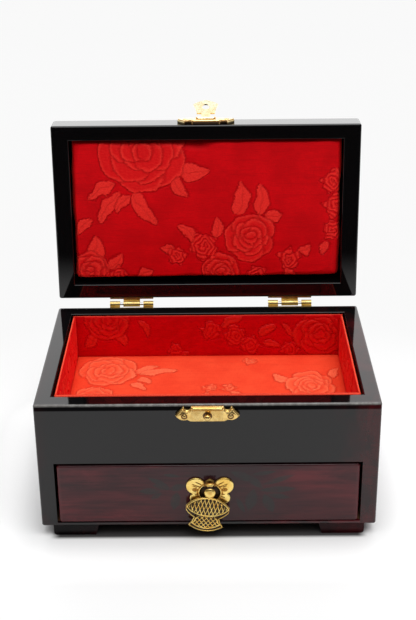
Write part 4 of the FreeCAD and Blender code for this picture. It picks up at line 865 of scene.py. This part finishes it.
class Casting:
    """Points, faces and tarnish of a small casting, gathered from its parts. Depth runs forward."""

    def __init__(self, turn=0.0):
        self.points = []
        self.faces = []
        self.tarnish_and_shade = []
        self.turn = turn

    def add(self, rows, faces):
        """Adds rows of points, each as arrays of x, y, z and tarnish, turned about the pull's pin."""
        start = len(self.points)
        x, y, z, tarnish_and_shade = np.concatenate(rows, 1)
        cos, sin = math.cos(self.turn), math.sin(self.turn)
        dx, dz = x - PULL_X, z - PULL_Z
        self.points += zip(PULL_X + dx * cos + dz * sin, y, PULL_Z - dx * sin + dz * cos)
        self.faces += [tuple(start + i for i in face) for face in faces]
        self.tarnish_and_shade += list(tarnish_and_shade)

    def polar(self, centre, rim, rings, top=None):
        """A plate of rings about a centre, each given as its share of the way to the rim, y and tarnish."""
        centre, rim = np.asarray(centre), np.asarray(rim)
        count = len(rim)
        rows = []
        for share, y, stain in rings:
            x, z = (centre + (rim - centre) * share).T
            level, shade = np.full(count, float(y)), np.full(count, float(stain))
            if top is not None:
                level, shade = top(x, z, level, shade)
            rows.append((x, level, z, shade))
        self.add(rows, quads(len(rows), count) + caps(len(rows), count))

    def ridge(self, path, half, height, level, closed=False, low=1.0, high=0.0):
        """A rounded rib along a path of (x, z), standing forward of a level. Low and high are its tarnish."""
        path = np.asarray(path, float)
        levels = level(*path.T) if callable(level) else np.full(len(path), level)
        ahead, behind = np.roll(path, -1, 0), np.roll(path, 1, 0)
        if not closed:
            ahead[-1], behind[0] = path[-1], path[0]
        tangent = ahead - behind
        tangent /= np.maximum(np.linalg.norm(tangent, axis=1, keepdims=True), 1e-9)
        shade = low + (high - low) * np.minimum(1.0, np.maximum(0.0, RIB_RISE) ** 0.6)
        rows = []
        for (x, z), (way_x, way_z), y in zip(path, tangent, levels):
            across = half * RIB_ACROSS
            rows.append((x - way_z * across, y - height * RIB_RISE, z + way_x * across, shade))
        faces = quads(len(rows), len(RIB_RISE), wrap=closed)
        self.add(rows, faces if closed else faces + caps(len(rows), len(RIB_RISE)))

    def barrel(self, x0, x1, radius, y, z, stain, round_painted_shade):
        """A rolled bar along x with rounded ends: painted shade darkens it away from the middle of its front,
        where its stain is kept as a painted highlight.
        """
        angles = np.arange(BAR_SIDES) * 2 * math.pi / BAR_SIDES
        cos, sin = radius * np.cos(angles), radius * np.sin(angles)
        shade = round_painted_shade + (stain - round_painted_shade) * np.maximum(0.0, -np.cos(angles + BAR_SHINE)) ** 2
        ends = [(x0, 0.0), (x0, 0.8), (x0 + BAR_ROUND, 1.0), (x1 - BAR_ROUND, 1.0), (x1, 0.8), (x1, 0.0)]
        rows = [(np.full(BAR_SIDES, x), y + cos * share, z + sin * share, shade) for x, share in ends]
        self.add(rows, quads(len(rows), BAR_SIDES))

    def eyes(self, middle, near, far, bar, stains_and_shade, low, high, rings):
        """Two rolled eyes that hold a pin, from near to far off the middle, each on a block up to a height."""
        for side in (-1, 1):
            x0, x1 = sorted((middle + side * near, middle + side * far))
            self.barrel(x0, x1, *bar, *stains_and_shade)
            block = dense([(x0, low), (x1, low), (x1, high), (x0, high)], BLOCK_STEP)
            self.polar(((x0 + x1) / 2, (low + high) / 2), block, rings)

    def piece(self, name, material):
        made = new_piece(name, np.array(self.points) * MM, self.faces, material)
        paint(made, "tarnish_and_shade", *[np.array(self.tarnish_and_shade)] * 3)
        close_up(made)
        return made


def dense(points, step, closed=True):
    """An outline or an open path with points no further apart than a step."""
    ends = list(points[1:]) + ([points[0]] if closed else [])
    out = []
    for (x0, z0), (x1, z1) in zip(points, ends):
        parts = max(1, math.ceil(math.hypot(x1 - x0, z1 - z0) / step))
        out += [(x0 + (x1 - x0) * k / parts, z0 + (z1 - z0) * k / parts) for k in range(parts)]
    if not closed:
        out.append(tuple(points[-1]))
    return np.array(out)


def arc(x, z, radius, start, stop, count):
    turns = np.radians(np.linspace(start, stop, count))
    return [(x + radius * math.cos(a), z + radius * math.sin(a)) for a in turns]


# The fish that hangs from the pull's pin. Its outlines are about the middle of its tips

FISH_Z = 24.0
FISH_LEAN = math.radians(1.8)
FLANGE_BACK = PULL_Y + 0.75
FLANGE_FRONT = FLANGE_BACK - 1.0
FLANGE = (14.2, 8.5, 1.5, -2.0, -9.6)
FLANGE_LINE = (13.85, 8.1, 1.3, -1.9, -9.25)
LENS = (13.8, 8.5, 1.4, 0.5, -5.4)
LENS_STEPS = 48
LENS_LOW = (0.5, -5.9)
LENS_HIGH = (1.4, 7.1)
TAIL_SAG = 3.9
TAIL_STEPS = 14
TAIL_FLOOR = FLANGE_FRONT - 0.3
TAIL_WIDTHS = [6.0, 7.2, 10.8, 12.5, 15.0], [6.2, 6.2, 7.6, 8.8, 8.8]
BULB_Z, BULB_R = 35.9, 3.65
BULB_FRONT = FLANGE_BACK - 2.2
BULB_SHARES = (0.98, 0.93, 0.86, 0.78, 0.7, 0.62, 0.54, 0.46, 0.38, 0.3, 0.2, 0.1, 0.01)
LINE_SAMPLES, SHORT_RUN = 240, 4


def lens_outline(half, top, high_tip, low_tip, bottom):
    """The fish's body: an arc over and an arc under its blunt tips, as (x, z)."""
    points = []
    for tip, peak, way in ((high_tip, top, 1), (low_tip, bottom, -1)):
        rise = abs(peak - tip)
        radius = (half * half + rise * rise) / (2 * rise)
        for share in np.linspace(way, -way, LENS_STEPS):
            drop = math.sqrt(max(0.0, radius * radius - (half * share) ** 2)) - (radius - rise)
            points.append((half * share, tip + way * drop))
    return np.array(points)


def tail_points(border, lift=0.0):
    """The tail, from its right neck round the bottom to its left neck, with its border and a higher bottom."""
    neck = 7.7 - border
    corner = 11.5 - 1.6 * border
    low = -14.0 + border + lift
    side = [(neck, -4.0), (neck + 0.2, -7.2), ((neck + corner) / 2 - 0.1, -10.8), (corner, low)]
    xs = [corner * (1 - 2 * index / TAIL_STEPS) for index in range(1, TAIL_STEPS)]
    bottom = [(x, low - TAIL_SAG * (1 - (x / corner) ** 2)) for x in xs]
    return side + bottom + [(-x, z) for x, z in side[::-1]]


def crossing_lines(inside, slope, pitch, reach):
    """Lines of two slants over a region, each as the runs of it that lie inside."""
    runs = []
    samples = np.linspace(-reach, reach, LINE_SAMPLES)
    count = int(reach * 2 / pitch)
    for sign in (-1, 1):
        for k in range(-count, count + 1):
            xs = k * pitch + sign * samples * slope
            keep = inside(xs, samples)
            for run in np.split(np.arange(LINE_SAMPLES), np.flatnonzero(np.diff(keep)) + 1):
                if keep[run[0]] and len(run) > SHORT_RUN:
                    line = [(xs[i], samples[i]) for i in run]
                    runs.append(line[:1] + line[3:-3:3] + line[-1:])
    return runs


def fish_place(points):
    """Points about the middle of the fish's tips as places on the pull before it swings aside."""
    cos, sin = math.cos(FISH_LEAN), math.sin(FISH_LEAN)
    return [(PULL_X + x * cos + z * sin, FISH_Z - x * sin + z * cos) for x, z in points]


def lens_front(x, z):
    """The depth of the scaled body's domed face at a place on the pull."""
    cos, sin = math.cos(FISH_LEAN), math.sin(FISH_LEAN)
    dx, dz = x - PULL_X, z - FISH_Z
    along, up = dx * cos - dz * sin, dx * sin + dz * cos
    span = np.clip(1 - (along / LENS[0]) ** 2, 0, 1)
    top, low = (start + slope * span for start, slope in (LENS_HIGH, LENS_LOW))
    share = np.clip((up - low) / (top - low), 0, 1)
    rise = 0.15 + (0.35 + 0.9 * smoothstep(span, 0.0, 0.4)) * np.sin(math.pi * (0.28 + 0.72 * share))
    return FLANGE_FRONT - rise


def in_lens(xs, zs):
    """Whether a point is on the part of the body that has scales."""
    half, top, high, low, bottom = LENS
    span = 1 - (xs / (half - 0.9)) ** 2
    return (zs < high + (top - high) * span - 0.7) & (zs > low + (bottom - low) * span + 0.7) & (span > 0)


def in_tail(xs, zs):
    """Whether a point is on the part of the tail that has lines."""
    bottom = -11.3 - TAIL_SAG * (1 - (xs / 9.6) ** 2)
    return (np.abs(xs) < np.interp(-zs, *TAIL_WIDTHS)) & (zs > bottom) & (zs < -6.0)


def domed(x, z, level, shade):
    """Lifts the body's front rings to its domed face."""
    return np.where(level > FLANGE_FRONT, level, lens_front(x, z)), shade


def hollowed(x, z, level, shade):
    """Sinks and browns the middle of the bulb's front."""
    hollow = smoothstep(np.hypot((x - PULL_X) / 2.5, (z - BULB_Z - 0.9) / 2.2), 1.4, 0.1)
    return level + 0.25 * hollow, np.maximum(shade, 0.30 * hollow)


def neck_outline(low_half, low, high_half, high):
    """A four-sided outline about the pull's middle line."""
    corners = [(low_half, low), (high_half, high), (-high_half, high), (-low_half, low)]
    return dense([(PULL_X + x, z) for x, z in corners], 0.8)


def make_fish():
    cast = Casting(FISH_TILT)
    flange_rings = [(0.9, FLANGE_BACK, 0.3), (0.98, FLANGE_BACK, 0.2), (1.0, FLANGE_BACK - 0.25, 0.1)]
    flange_rings += [(1.0, FLANGE_FRONT + 0.25, 0.0), (0.98, FLANGE_FRONT, 0.3)]
    flange_rings += [(0.95, FLANGE_FRONT, 1.0), (0.85, FLANGE_FRONT, 1.0)]
    cast.polar((PULL_X, FISH_Z), fish_place(lens_outline(*FLANGE)), flange_rings)
    body_centre, tail_centre = fish_place([(0, 1.5), (0, -9.5)])
    cast.polar(tail_centre, dense(fish_place(tail_points(0)), 1.0), flange_rings)

    rings = [(1.0, FLANGE_FRONT + 0.2, 1.0), (1.0, FLANGE_FRONT - 0.1, 0.4)]
    rings += [(share, FLANGE_FRONT - 0.1, 1.0) for share in (0.97, 0.9, 0.8, 0.65, 0.5, 0.35, 0.2, 0.02)]
    cast.polar(body_centre, fish_place(lens_outline(*LENS)), rings, domed)
    half, top, high, low, bottom = LENS
    rim = fish_place(lens_outline(half - 0.45, top - 0.42, high - 0.1, low + 0.1, bottom + 0.42))
    cast.ridge(dense(rim, 0.5), 0.44, 0.42, lens_front, closed=True, low=0.3)
    for run in crossing_lines(in_lens, 0.37, 2.5, 9.5):
        cast.ridge(fish_place(run), 0.27, 0.38, lens_front, low=0.15)

    rings = [(1.0, FLANGE_FRONT + 0.2, 1.0), (1.0, TAIL_FLOOR + 0.1, 0.6), (0.95, TAIL_FLOOR, 0.9)]
    rings += [(0.5, TAIL_FLOOR, 1.0), (0.02, TAIL_FLOOR, 1.0)]
    cast.polar(tail_centre, dense(fish_place(tail_points(0.9, 1.1)), 1.0), rings)
    hem = [p for p in tail_points(1.3, 1.15) if p[1] < -7.0]
    cast.ridge(dense(fish_place(hem), 0.8, closed=False), 0.45, 0.36, TAIL_FLOOR, low=0.3)
    line = [p for p in lens_outline(*FLANGE_LINE) if p[1] < -1.8 and abs(p[0]) > 7.4]
    skirt = [p for p in tail_points(0.35)[::-1] if p[1] < -7.6]
    edge = [p for p in line if p[0] < 0] + skirt + [p for p in line if p[0] > 0]
    cast.ridge(dense(fish_place(edge), 0.8, closed=False), 0.34, 0.42, FLANGE_FRONT, low=0.3)
    for run in crossing_lines(in_tail, 0.80, 2.95, 18.0):
        cast.ridge(fish_place(run), 0.29, 0.38, TAIL_FLOOR, low=0.15)

    cast.turn = 0.0
    rings = [(0.95, FLANGE_BACK, 0.5), (1.0, FLANGE_BACK - 0.2, 0.5), (1.0, FLANGE_BACK - 0.6, 0.3)]
    rings += [(share, BULB_FRONT + 1.6 * (1 - math.sqrt(1 - share * share)), 0.0) for share in BULB_SHARES]
    cast.polar((PULL_X, BULB_Z), arc(PULL_X, BULB_Z, BULB_R, 0, 360, 65)[:-1], rings, hollowed)
    rings = [(1.0, FLANGE_BACK, 0.9), (1.0, FLANGE_BACK - 0.8, 0.8), (0.9, FLANGE_BACK - 1.0, 0.85)]
    rings += [(0.02, FLANGE_BACK - 1.0, 0.9)]
    cast.polar((PULL_X, 39.4), neck_outline(1.9, 36.5, 1.5, 42.2), rings)
    cast.barrel(PULL_X - 2.2, PULL_X + 2.2, 1.25, PULL_Y, PULL_Z, 0.0, 0.9)
    rings = [(1.0, FLANGE_BACK, 0.5), (1.0, FLANGE_FRONT, 0.2), (0.02, FLANGE_FRONT - 0.2, 0.1)]
    cast.polar((PULL_X, 32.4), neck_outline(1.8, 31.0, 2.2, 34.0), rings)
    fish = cast.piece("fish_drop", finishes["antique_brass"])
    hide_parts("pull_drop")
    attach(fish, "pull")


# The butterfly that the fish hangs from. A wing and a lobe are x from its middle line, z and radius

RING_Z, RING_R = 34.0, 6.7
WING, LOBE = (9.2, 39.3, 6.2), (8.8, 29.9, 4.3)
ROOF = ((0.0, 4.1, 9.2), (45.0, 42.2, 41.3))
EYE = (9.6, 36.8)
PLATE_BACK, PLATE_FRONT = DRAWER_FACE, DRAWER_FACE - 1.2
PLATE_TURNS = np.linspace(0, 2 * math.pi, 300, endpoint=False)
PLATE_SHARES = (0.0, *np.linspace(0.03, 0.97, 44), 1.0)
# Chased lines as start and end from the plate's middle line, the first end the deeper
STROKES = [
    (6.2, 38.9, 11.4, 41.3), (5.8, 41.0, 9.2, 42.9), (8.6, 39.0, 11.0, 40.0),
    (7.2, 31.5, 9.6, 30.7), (6.6, 29.6, 8.6, 28.8), (7.6, 33.2, 9.4, 33.0),
]


def in_butterfly(dx, z):
    """Whether a point, given by its distance from the plate's middle line, is on the plate."""
    dx = np.abs(dx)
    on = np.hypot(dx - WING[0], z - WING[1]) < WING[2]
    on |= np.hypot(dx - LOBE[0], z - LOBE[1]) < LOBE[2]
    on |= (dx < 9.0) & (z < np.interp(dx, *ROOF)) & (z > 27.3)
    return on


def chased_face(dx, z, from_rim, from_hole):
    """The height of the plate's face over its level and how brown it is, with patina and painted shade, from the
    middle line out.
    """
    wing, lobe = (np.clip(1 - (np.hypot(dx - x, z - up) / r) ** 2, 0, 1) for x, up, r in (WING, LOBE))
    edge = smoothstep(np.minimum(from_rim, from_hole), 0.0, 0.7)
    rise = (0.30 * wing + 0.24 * lobe) * edge - 0.2 * (1 - edge)
    rise += 0.25 * smoothstep(from_hole, 0.0, 0.25) * smoothstep(from_hole, 0.75, 0.45)
    trough = smoothstep(from_hole, 0.7, 1.1) * smoothstep(from_hole, 2.4, 1.2) * smoothstep(z, 30.0, 34.0)
    rise -= 0.12 * trough
    stains_and_shade = [0.55 * trough]
    for x0, z0, x1, z1 in STROKES:
        length = math.hypot(x1 - x0, z1 - z0)
        along = ((dx - x0) * (x1 - x0) + (z - z0) * (z1 - z0)) / length
        across = ((z - z0) * (x1 - x0) - (dx - x0) * (z1 - z0)) / length
        share = np.clip(along / length, 0, 1)
        cut = smoothstep(np.hypot(across, along - share * length), 0.50 * (1.1 - 0.6 * share), 0.12)
        rise -= 0.25 * cut
        stains_and_shade.append(0.62 * cut)
    from_eye = np.hypot(dx - EYE[0], (z - EYE[1]) * 1.3)
    stains_and_shade.append(0.42 * smoothstep(from_eye, 2.6, 1.2))
    for radius in (0.3, 1.5):
        ring = smoothstep(np.abs(from_eye - radius), 0.42, 0.12)
        rise -= 0.2 * ring
        stains_and_shade.append(0.7 * ring)
    under = np.interp(dx, *ROOF) - z
    high = smoothstep(z, 40.4, 41.0)
    # Painted shade: under the peak of the roof, behind the pin, the plate is browned
    painted_shade_under_roof = smoothstep(under, 0.9, 1.5) * smoothstep(dx, 4.6, 3.9) * high
    eaves = smoothstep(under, 1.5, 0.5) * smoothstep(dx, 5.0, 4.3) * high
    rise += 0.45 * eaves
    return rise, np.max([*stains_and_shade, 0.50 * painted_shade_under_roof, 0.22 * eaves], 0)


def plate_row(rim, share, plain=None):
    """Points of the plate at a share of the way from its opening to its rim, on its face or a plain level."""
    reach = RING_R + (rim - RING_R) * share
    dx, z = reach * np.cos(PLATE_TURNS), RING_Z + reach * np.sin(PLATE_TURNS)
    if plain:
        level, stain = (np.full(len(rim), value) for value in plain)
    else:
        rise, stain = chased_face(np.abs(dx), z, rim - reach, reach - RING_R)
        level = PLATE_FRONT - rise
    return PULL_X + dx, level, z, stain


def make_butterfly():
    steps = np.arange(RING_R, 19.0, 0.02)
    rim = []
    for angle in PLATE_TURNS:
        on = in_butterfly(steps * math.cos(angle), RING_Z + steps * math.sin(angle))
        rim.append(steps[on].max() if on.any() else RING_R + 0.2)
    rim = np.array(rim)
    cast = Casting()
    back, wall = (PLATE_BACK, 0.8), (PLATE_FRONT + 0.45, 0.25)
    rows = [plate_row(rim, 0.0, back), plate_row(rim, 0.0, wall)]
    rows += [plate_row(rim, share) for share in PLATE_SHARES]
    rows += [plate_row(rim, 1.0, wall), plate_row(rim, 1.0, back)]
    cast.add(rows, quads(len(rows), len(rim), wrap=True))
    rings = [(1.0, PLATE_FRONT + 0.3, 0.9), (1.0, PULL_Y - 0.4, 0.8), (0.02, PULL_Y - 0.6, 0.6)]
    cast.eyes(PULL_X, 2.7, 3.7, (1.25, PULL_Y, PULL_Z), (0.55, 0.9), 41.4, 43.6, rings)
    backing = arc(PULL_X, RING_Z, RING_R + 0.2, 0, 360, 76)[:-1]
    rings = [(1.0, PLATE_BACK, 1.0), (1.0, PLATE_BACK - 0.2, 1.0), (0.02, PLATE_BACK - 0.2, 1.0)]
    cast.polar((PULL_X, RING_Z), backing, rings)
    plate = cast.piece("butterfly_plate", finishes["antique_brass"])
    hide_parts("pull_plate")
    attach(plate, "drawer")


# The plates of the latch, at their places when the lid is shut. Each has a flat edge at the seam

CASE_LATCH, LID_LATCH = 100.1, 102.9
LATCH_FACE = MODEL_SHIFT - 2.2
LATCH_EDGE = 0.22
NOTCH_X, NOTCH_R = 12.6, 2.4
HASP_Y, HASP_Z, HASP_R = MODEL_SHIFT - 3.6, 106.4, 1.3
LATCH_CORNERS = [
    (20.3, -6.1), (19.2, -7.6), (17.7, -8.9), (16.0, -9.6),
    (14.4, -9.7), (12.8, -9.3), (10.6, -10.5), (0, -10.5),
]
NOTCH_RIB = [(19.5, -6.3), (15.5, -1.7), *arc(NOTCH_X, -0.25, NOTCH_R + 0.75, -28, -158, 12)]
# Each rib is its path below the flat edge, half its width, its rise, and its tarnish low down and on top. The dark
# low down is patina and painted shade in the crease at the rib's foot
LATCH_RIBS = [
    (NOTCH_RIB, 0.60, 0.8, 0.8, 0.0),
    ([(-x, z) for x, z in NOTCH_RIB], 0.60, 0.8, 0.8, 0.0),
    ([(-9.4, -1.0), (9.4, -1.0)], 0.95, 1.05, 0.8, 0.0),
    # A brown line under the lip, of patina and painted shade
    ([(-10.0, -2.35), (10.0, -2.35)], 0.42, 0.06, 0.6, 0.5),
]


def latch_outline():
    """The plate's outline as (x, z) below its flat edge at the seam, clockwise from the edge's middle."""
    half = [(0, 0), (10.2, 0), *arc(NOTCH_X, 0, NOTCH_R, 180, 360, 14), *LATCH_CORNERS]
    return half + [(-x, z) for x, z in half[-2:0:-1]]


def latch_plate(flat_edge, upward):
    """A stamped plate with a rolled lip along the seam and round its two notches, at its shut place."""
    outline = dense(latch_outline(), 0.6)
    if upward:
        outline = (outline * (1, -1))[::-1]
    tangent = np.roll(outline, -1, 0) - np.roll(outline, 1, 0)
    tangent /= np.linalg.norm(tangent, axis=1, keepdims=True)
    inner = outline + LATCH_EDGE * np.stack([tangent[:, 1], -tangent[:, 0]], 1)
    rows = []
    for flat, level in ((outline, MODEL_SHIFT), (outline, LATCH_FACE + LATCH_EDGE), (inner, LATCH_FACE)):
        x, z = flat.T
        # On the hasp plate the walls of the notches and the edge along the seam are painted dark, as painted shade
        in_notch = np.hypot(np.abs(x) - NOTCH_X, z) < NOTCH_R + 0.15
        in_lip = (np.abs(x) < 9.6) & (np.abs(z) < 0.3)
        hollow = upward * np.where(in_lip | in_notch, 0.95, 0.0)
        rows.append((x, np.full(len(x), level), flat_edge + z, hollow))
    cast = Casting()
    cast.add(rows, quads(3, len(outline)) + caps(3, len(outline)))
    for path, half, rise, low, high in LATCH_RIBS:
        line = dense(path, 0.6, closed=False) * (1, -1 if upward else 1)
        cast.ridge(line + np.array([0, flat_edge]), half, rise, LATCH_FACE, low=low, high=high)
    return cast


def make_latch():
    strike = latch_plate(CASE_LATCH, False).piece("strike_cover", strike_brass)
    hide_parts("strike_plate")
    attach(strike, "case")
    cast = latch_plate(LID_LATCH, True)
    rings = [(1.0, LATCH_FACE + 0.5, 0.6), (1.0, HASP_Y, 0.3), (0.02, HASP_Y - 0.1, 0.2)]
    cast.eyes(0, 5.8, 7.0, (HASP_R, HASP_Y, HASP_Z), (0.0, 0.6), HASP_Z - HASP_R, HASP_Z + HASP_R, rings)
    plate = cast.piece("hasp_cover", hasp_brass)
    plate.data.transform(lid_matrix())
    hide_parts("hasp_plate")
    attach(plate, "lid")


make_lid_pad()
make_tray()
make_drawer_pad()
make_fish()
make_butterfly()
make_latch()


# Camera, floor and light. Lengths are in metres, and the camera's own are in pixels of the photo

FOCAL_PX = 1097.43
SENSOR = 36.0
FRAME_W, FRAME_H = 416, 620
PRINCIPAL = (208.0, 195.7)
CAMERA_AT = Vector((0.00506, -0.67172, 0.48015))
PITCH, YAW, ROLL = (math.radians(a) for a in (21.986, 0.3156, 0.6107))
CASE_HALF = 0.110
CASE_FRONT, CASE_BACK = -0.0821, 0.0494
FLOOR_REACH = 12.0
REFLECTED_BLACK_FROM_Y = (-0.26, -0.42)
CONTACT_OUT, CONTACT_IN = (0.0005, 0.0042), (-0.012, -0.004)
SHEET_GLOW, SHEET_FADE, PAINTED_GLOW_FADE = 0.94, (0.0, 0.17), (0.001, 0.03)


def make_camera():
    forward = Vector((-math.sin(YAW) * math.cos(PITCH), math.cos(YAW) * math.cos(PITCH), -math.sin(PITCH)))
    right = Vector((math.cos(YAW), math.sin(YAW), 0))
    down = forward.cross(right)
    right, down = (
        math.cos(ROLL) * right + math.sin(ROLL) * down,
        math.cos(ROLL) * down - math.sin(ROLL) * right,
    )
    turn = Matrix((right, -down, -forward)).transposed().to_4x4()
    data = bpy.data.cameras.new("view")
    data.sensor_width = SENSOR
    data.sensor_fit = "AUTO"
    data.lens = FOCAL_PX * SENSOR / FRAME_H
    data.shift_x = (FRAME_W / 2 - PRINCIPAL[0]) / FRAME_H
    data.shift_y = -(FRAME_H / 2 - PRINCIPAL[1]) / FRAME_H
    data.clip_start = 0.01
    camera = bpy.data.objects.new("view", data)
    camera.matrix_world = Matrix.Translation(CAMERA_AT) @ turn
    bpy.context.scene.collection.objects.link(camera)
    bpy.context.scene.camera = camera


def seen_share(s):
    """One for rays that show the background: the camera's, mirrored or through a clear part. Then the mirrored."""
    camera, glossy, clear = (
        s.add("LightPath", output=f"Is {kind} Ray") for kind in ("Camera", "Glossy", "Transmission")
    )
    return s.math("MAXIMUM", s.math("MAXIMUM", camera, glossy), clear), glossy


def make_world():
    """A white sweep behind and above, a darker room in front, and soft light mostly from above."""
    s = Shade("studio", world=True)
    seen, glossy = seen_share(s)
    _, y, z = s.split(s.where)
    light = s.mix(s.ramp(z, 0.30, 0.92), ROOM_LOW, ROOM_HIGH)
    front = s.ramp(y, 0.15, -0.35) * s.ramp(z, 0.75, 0.45)
    shown = s.mix(front * glossy, GLOSS_WHITE, GLOSS_BLACK)
    s.node("OutputWorld", {0: s.add("Background", {0: s.mix(seen, light, shown)})})
    bpy.context.scene.world = s.material


def area_light(name, place, target, width, height, power):
    data = bpy.data.lights.new(name, "AREA")
    data.shape = "RECTANGLE"
    data.size = width
    data.size_y = height
    data.energy = power
    lamp = bpy.data.objects.new(name, data)
    place, target = Vector(place), Vector(target)
    turn = (target - place).to_track_quat("-Z", "Y").to_matrix().to_4x4()
    lamp.matrix_world = Matrix.Translation(place) @ turn
    bpy.context.scene.collection.objects.link(lamp)
    return lamp


def make_floor():
    """White paper, painted dark under the box and a few millimetres past its front and back as painted contact
    shade. A reflection sees it only near the box.
    """
    s = Shade("studio_floor")
    seen, glossy = seen_share(s)
    x, y, _ = s.split(s.where)
    past_side = abs(x) - CASE_HALF
    past_front = s.math("MAXIMUM", CASE_FRONT - y, y - CASE_BACK)
    beside, before = s.math("MAXIMUM", past_side, 0.0), s.math("MAXIMUM", past_front, 0.0)
    away = s.math("SQRT", beside * beside + before * before)
    # Painted shade: the paper goes dark under the box and fades out from 0.5 to 4 mm past its front and back, and
    # from 12 to 4 mm inside its sides
    under = s.ramp(past_front, *CONTACT_OUT, 0.96, 0.0) * s.ramp(past_side, *CONTACT_IN, 1.0, 0.0)
    camera = seen - glossy
    # Painted reflection: for mirrored rays only, the paper from 0.26 m to 0.42 m before the box turns black, so
    # the lacquer reflects a dark front
    beyond = s.ramp(y, *REFLECTED_BLACK_FROM_Y) * glossy
    far = s.ramp(away, *SHEET_FADE) * camera
    # Painted light: for camera rays the paper starts to glow 1 mm off the box, up to 0.18 at 30 mm, which lightens
    # the shade the box casts there
    lift = s.ramp(away, *PAINTED_GLOW_FADE, 0.0, 0.18) * camera
    paper = s.mix(s.ramp(s.noise(4, 2, 0.5), 0.3, 0.7), PAPER_COOL, PAPER_WARM)
    s.surface(
        base_color=s.mix(s.math("MAXIMUM", beyond, far), s.mix(under, paper, PAINTED_CONTACT_SHADOW), FLAT_BLACK),
        roughness=0.9,
        specular_ior_level=0.0,
        emission_color=WHITE,
        emission_strength=s.math("MAXIMUM", far * SHEET_GLOW, lift),
    )
    corners = [(x * FLOOR_REACH, y * FLOOR_REACH, 0) for x, y in ((-1, -1), (1, -1), (1, 1), (-1, 1))]
    floor = new_piece("floor", corners, [(0, 1, 2, 3)], s.material, smooth=False)


make_camera()
make_world()
make_floor()
area_light("key", place=(0.20, -0.28, 1.62), target=(0, 0, 0.1), width=1.4, height=1.4, power=21)
back = area_light("back", place=(0.0, 1.25, 0.68), target=(0, 0, 0.68), width=1.9, height=0.92, power=8.8)
back.visible_camera = False

view = bpy.context.scene.view_settings
view.view_transform = "Standard"
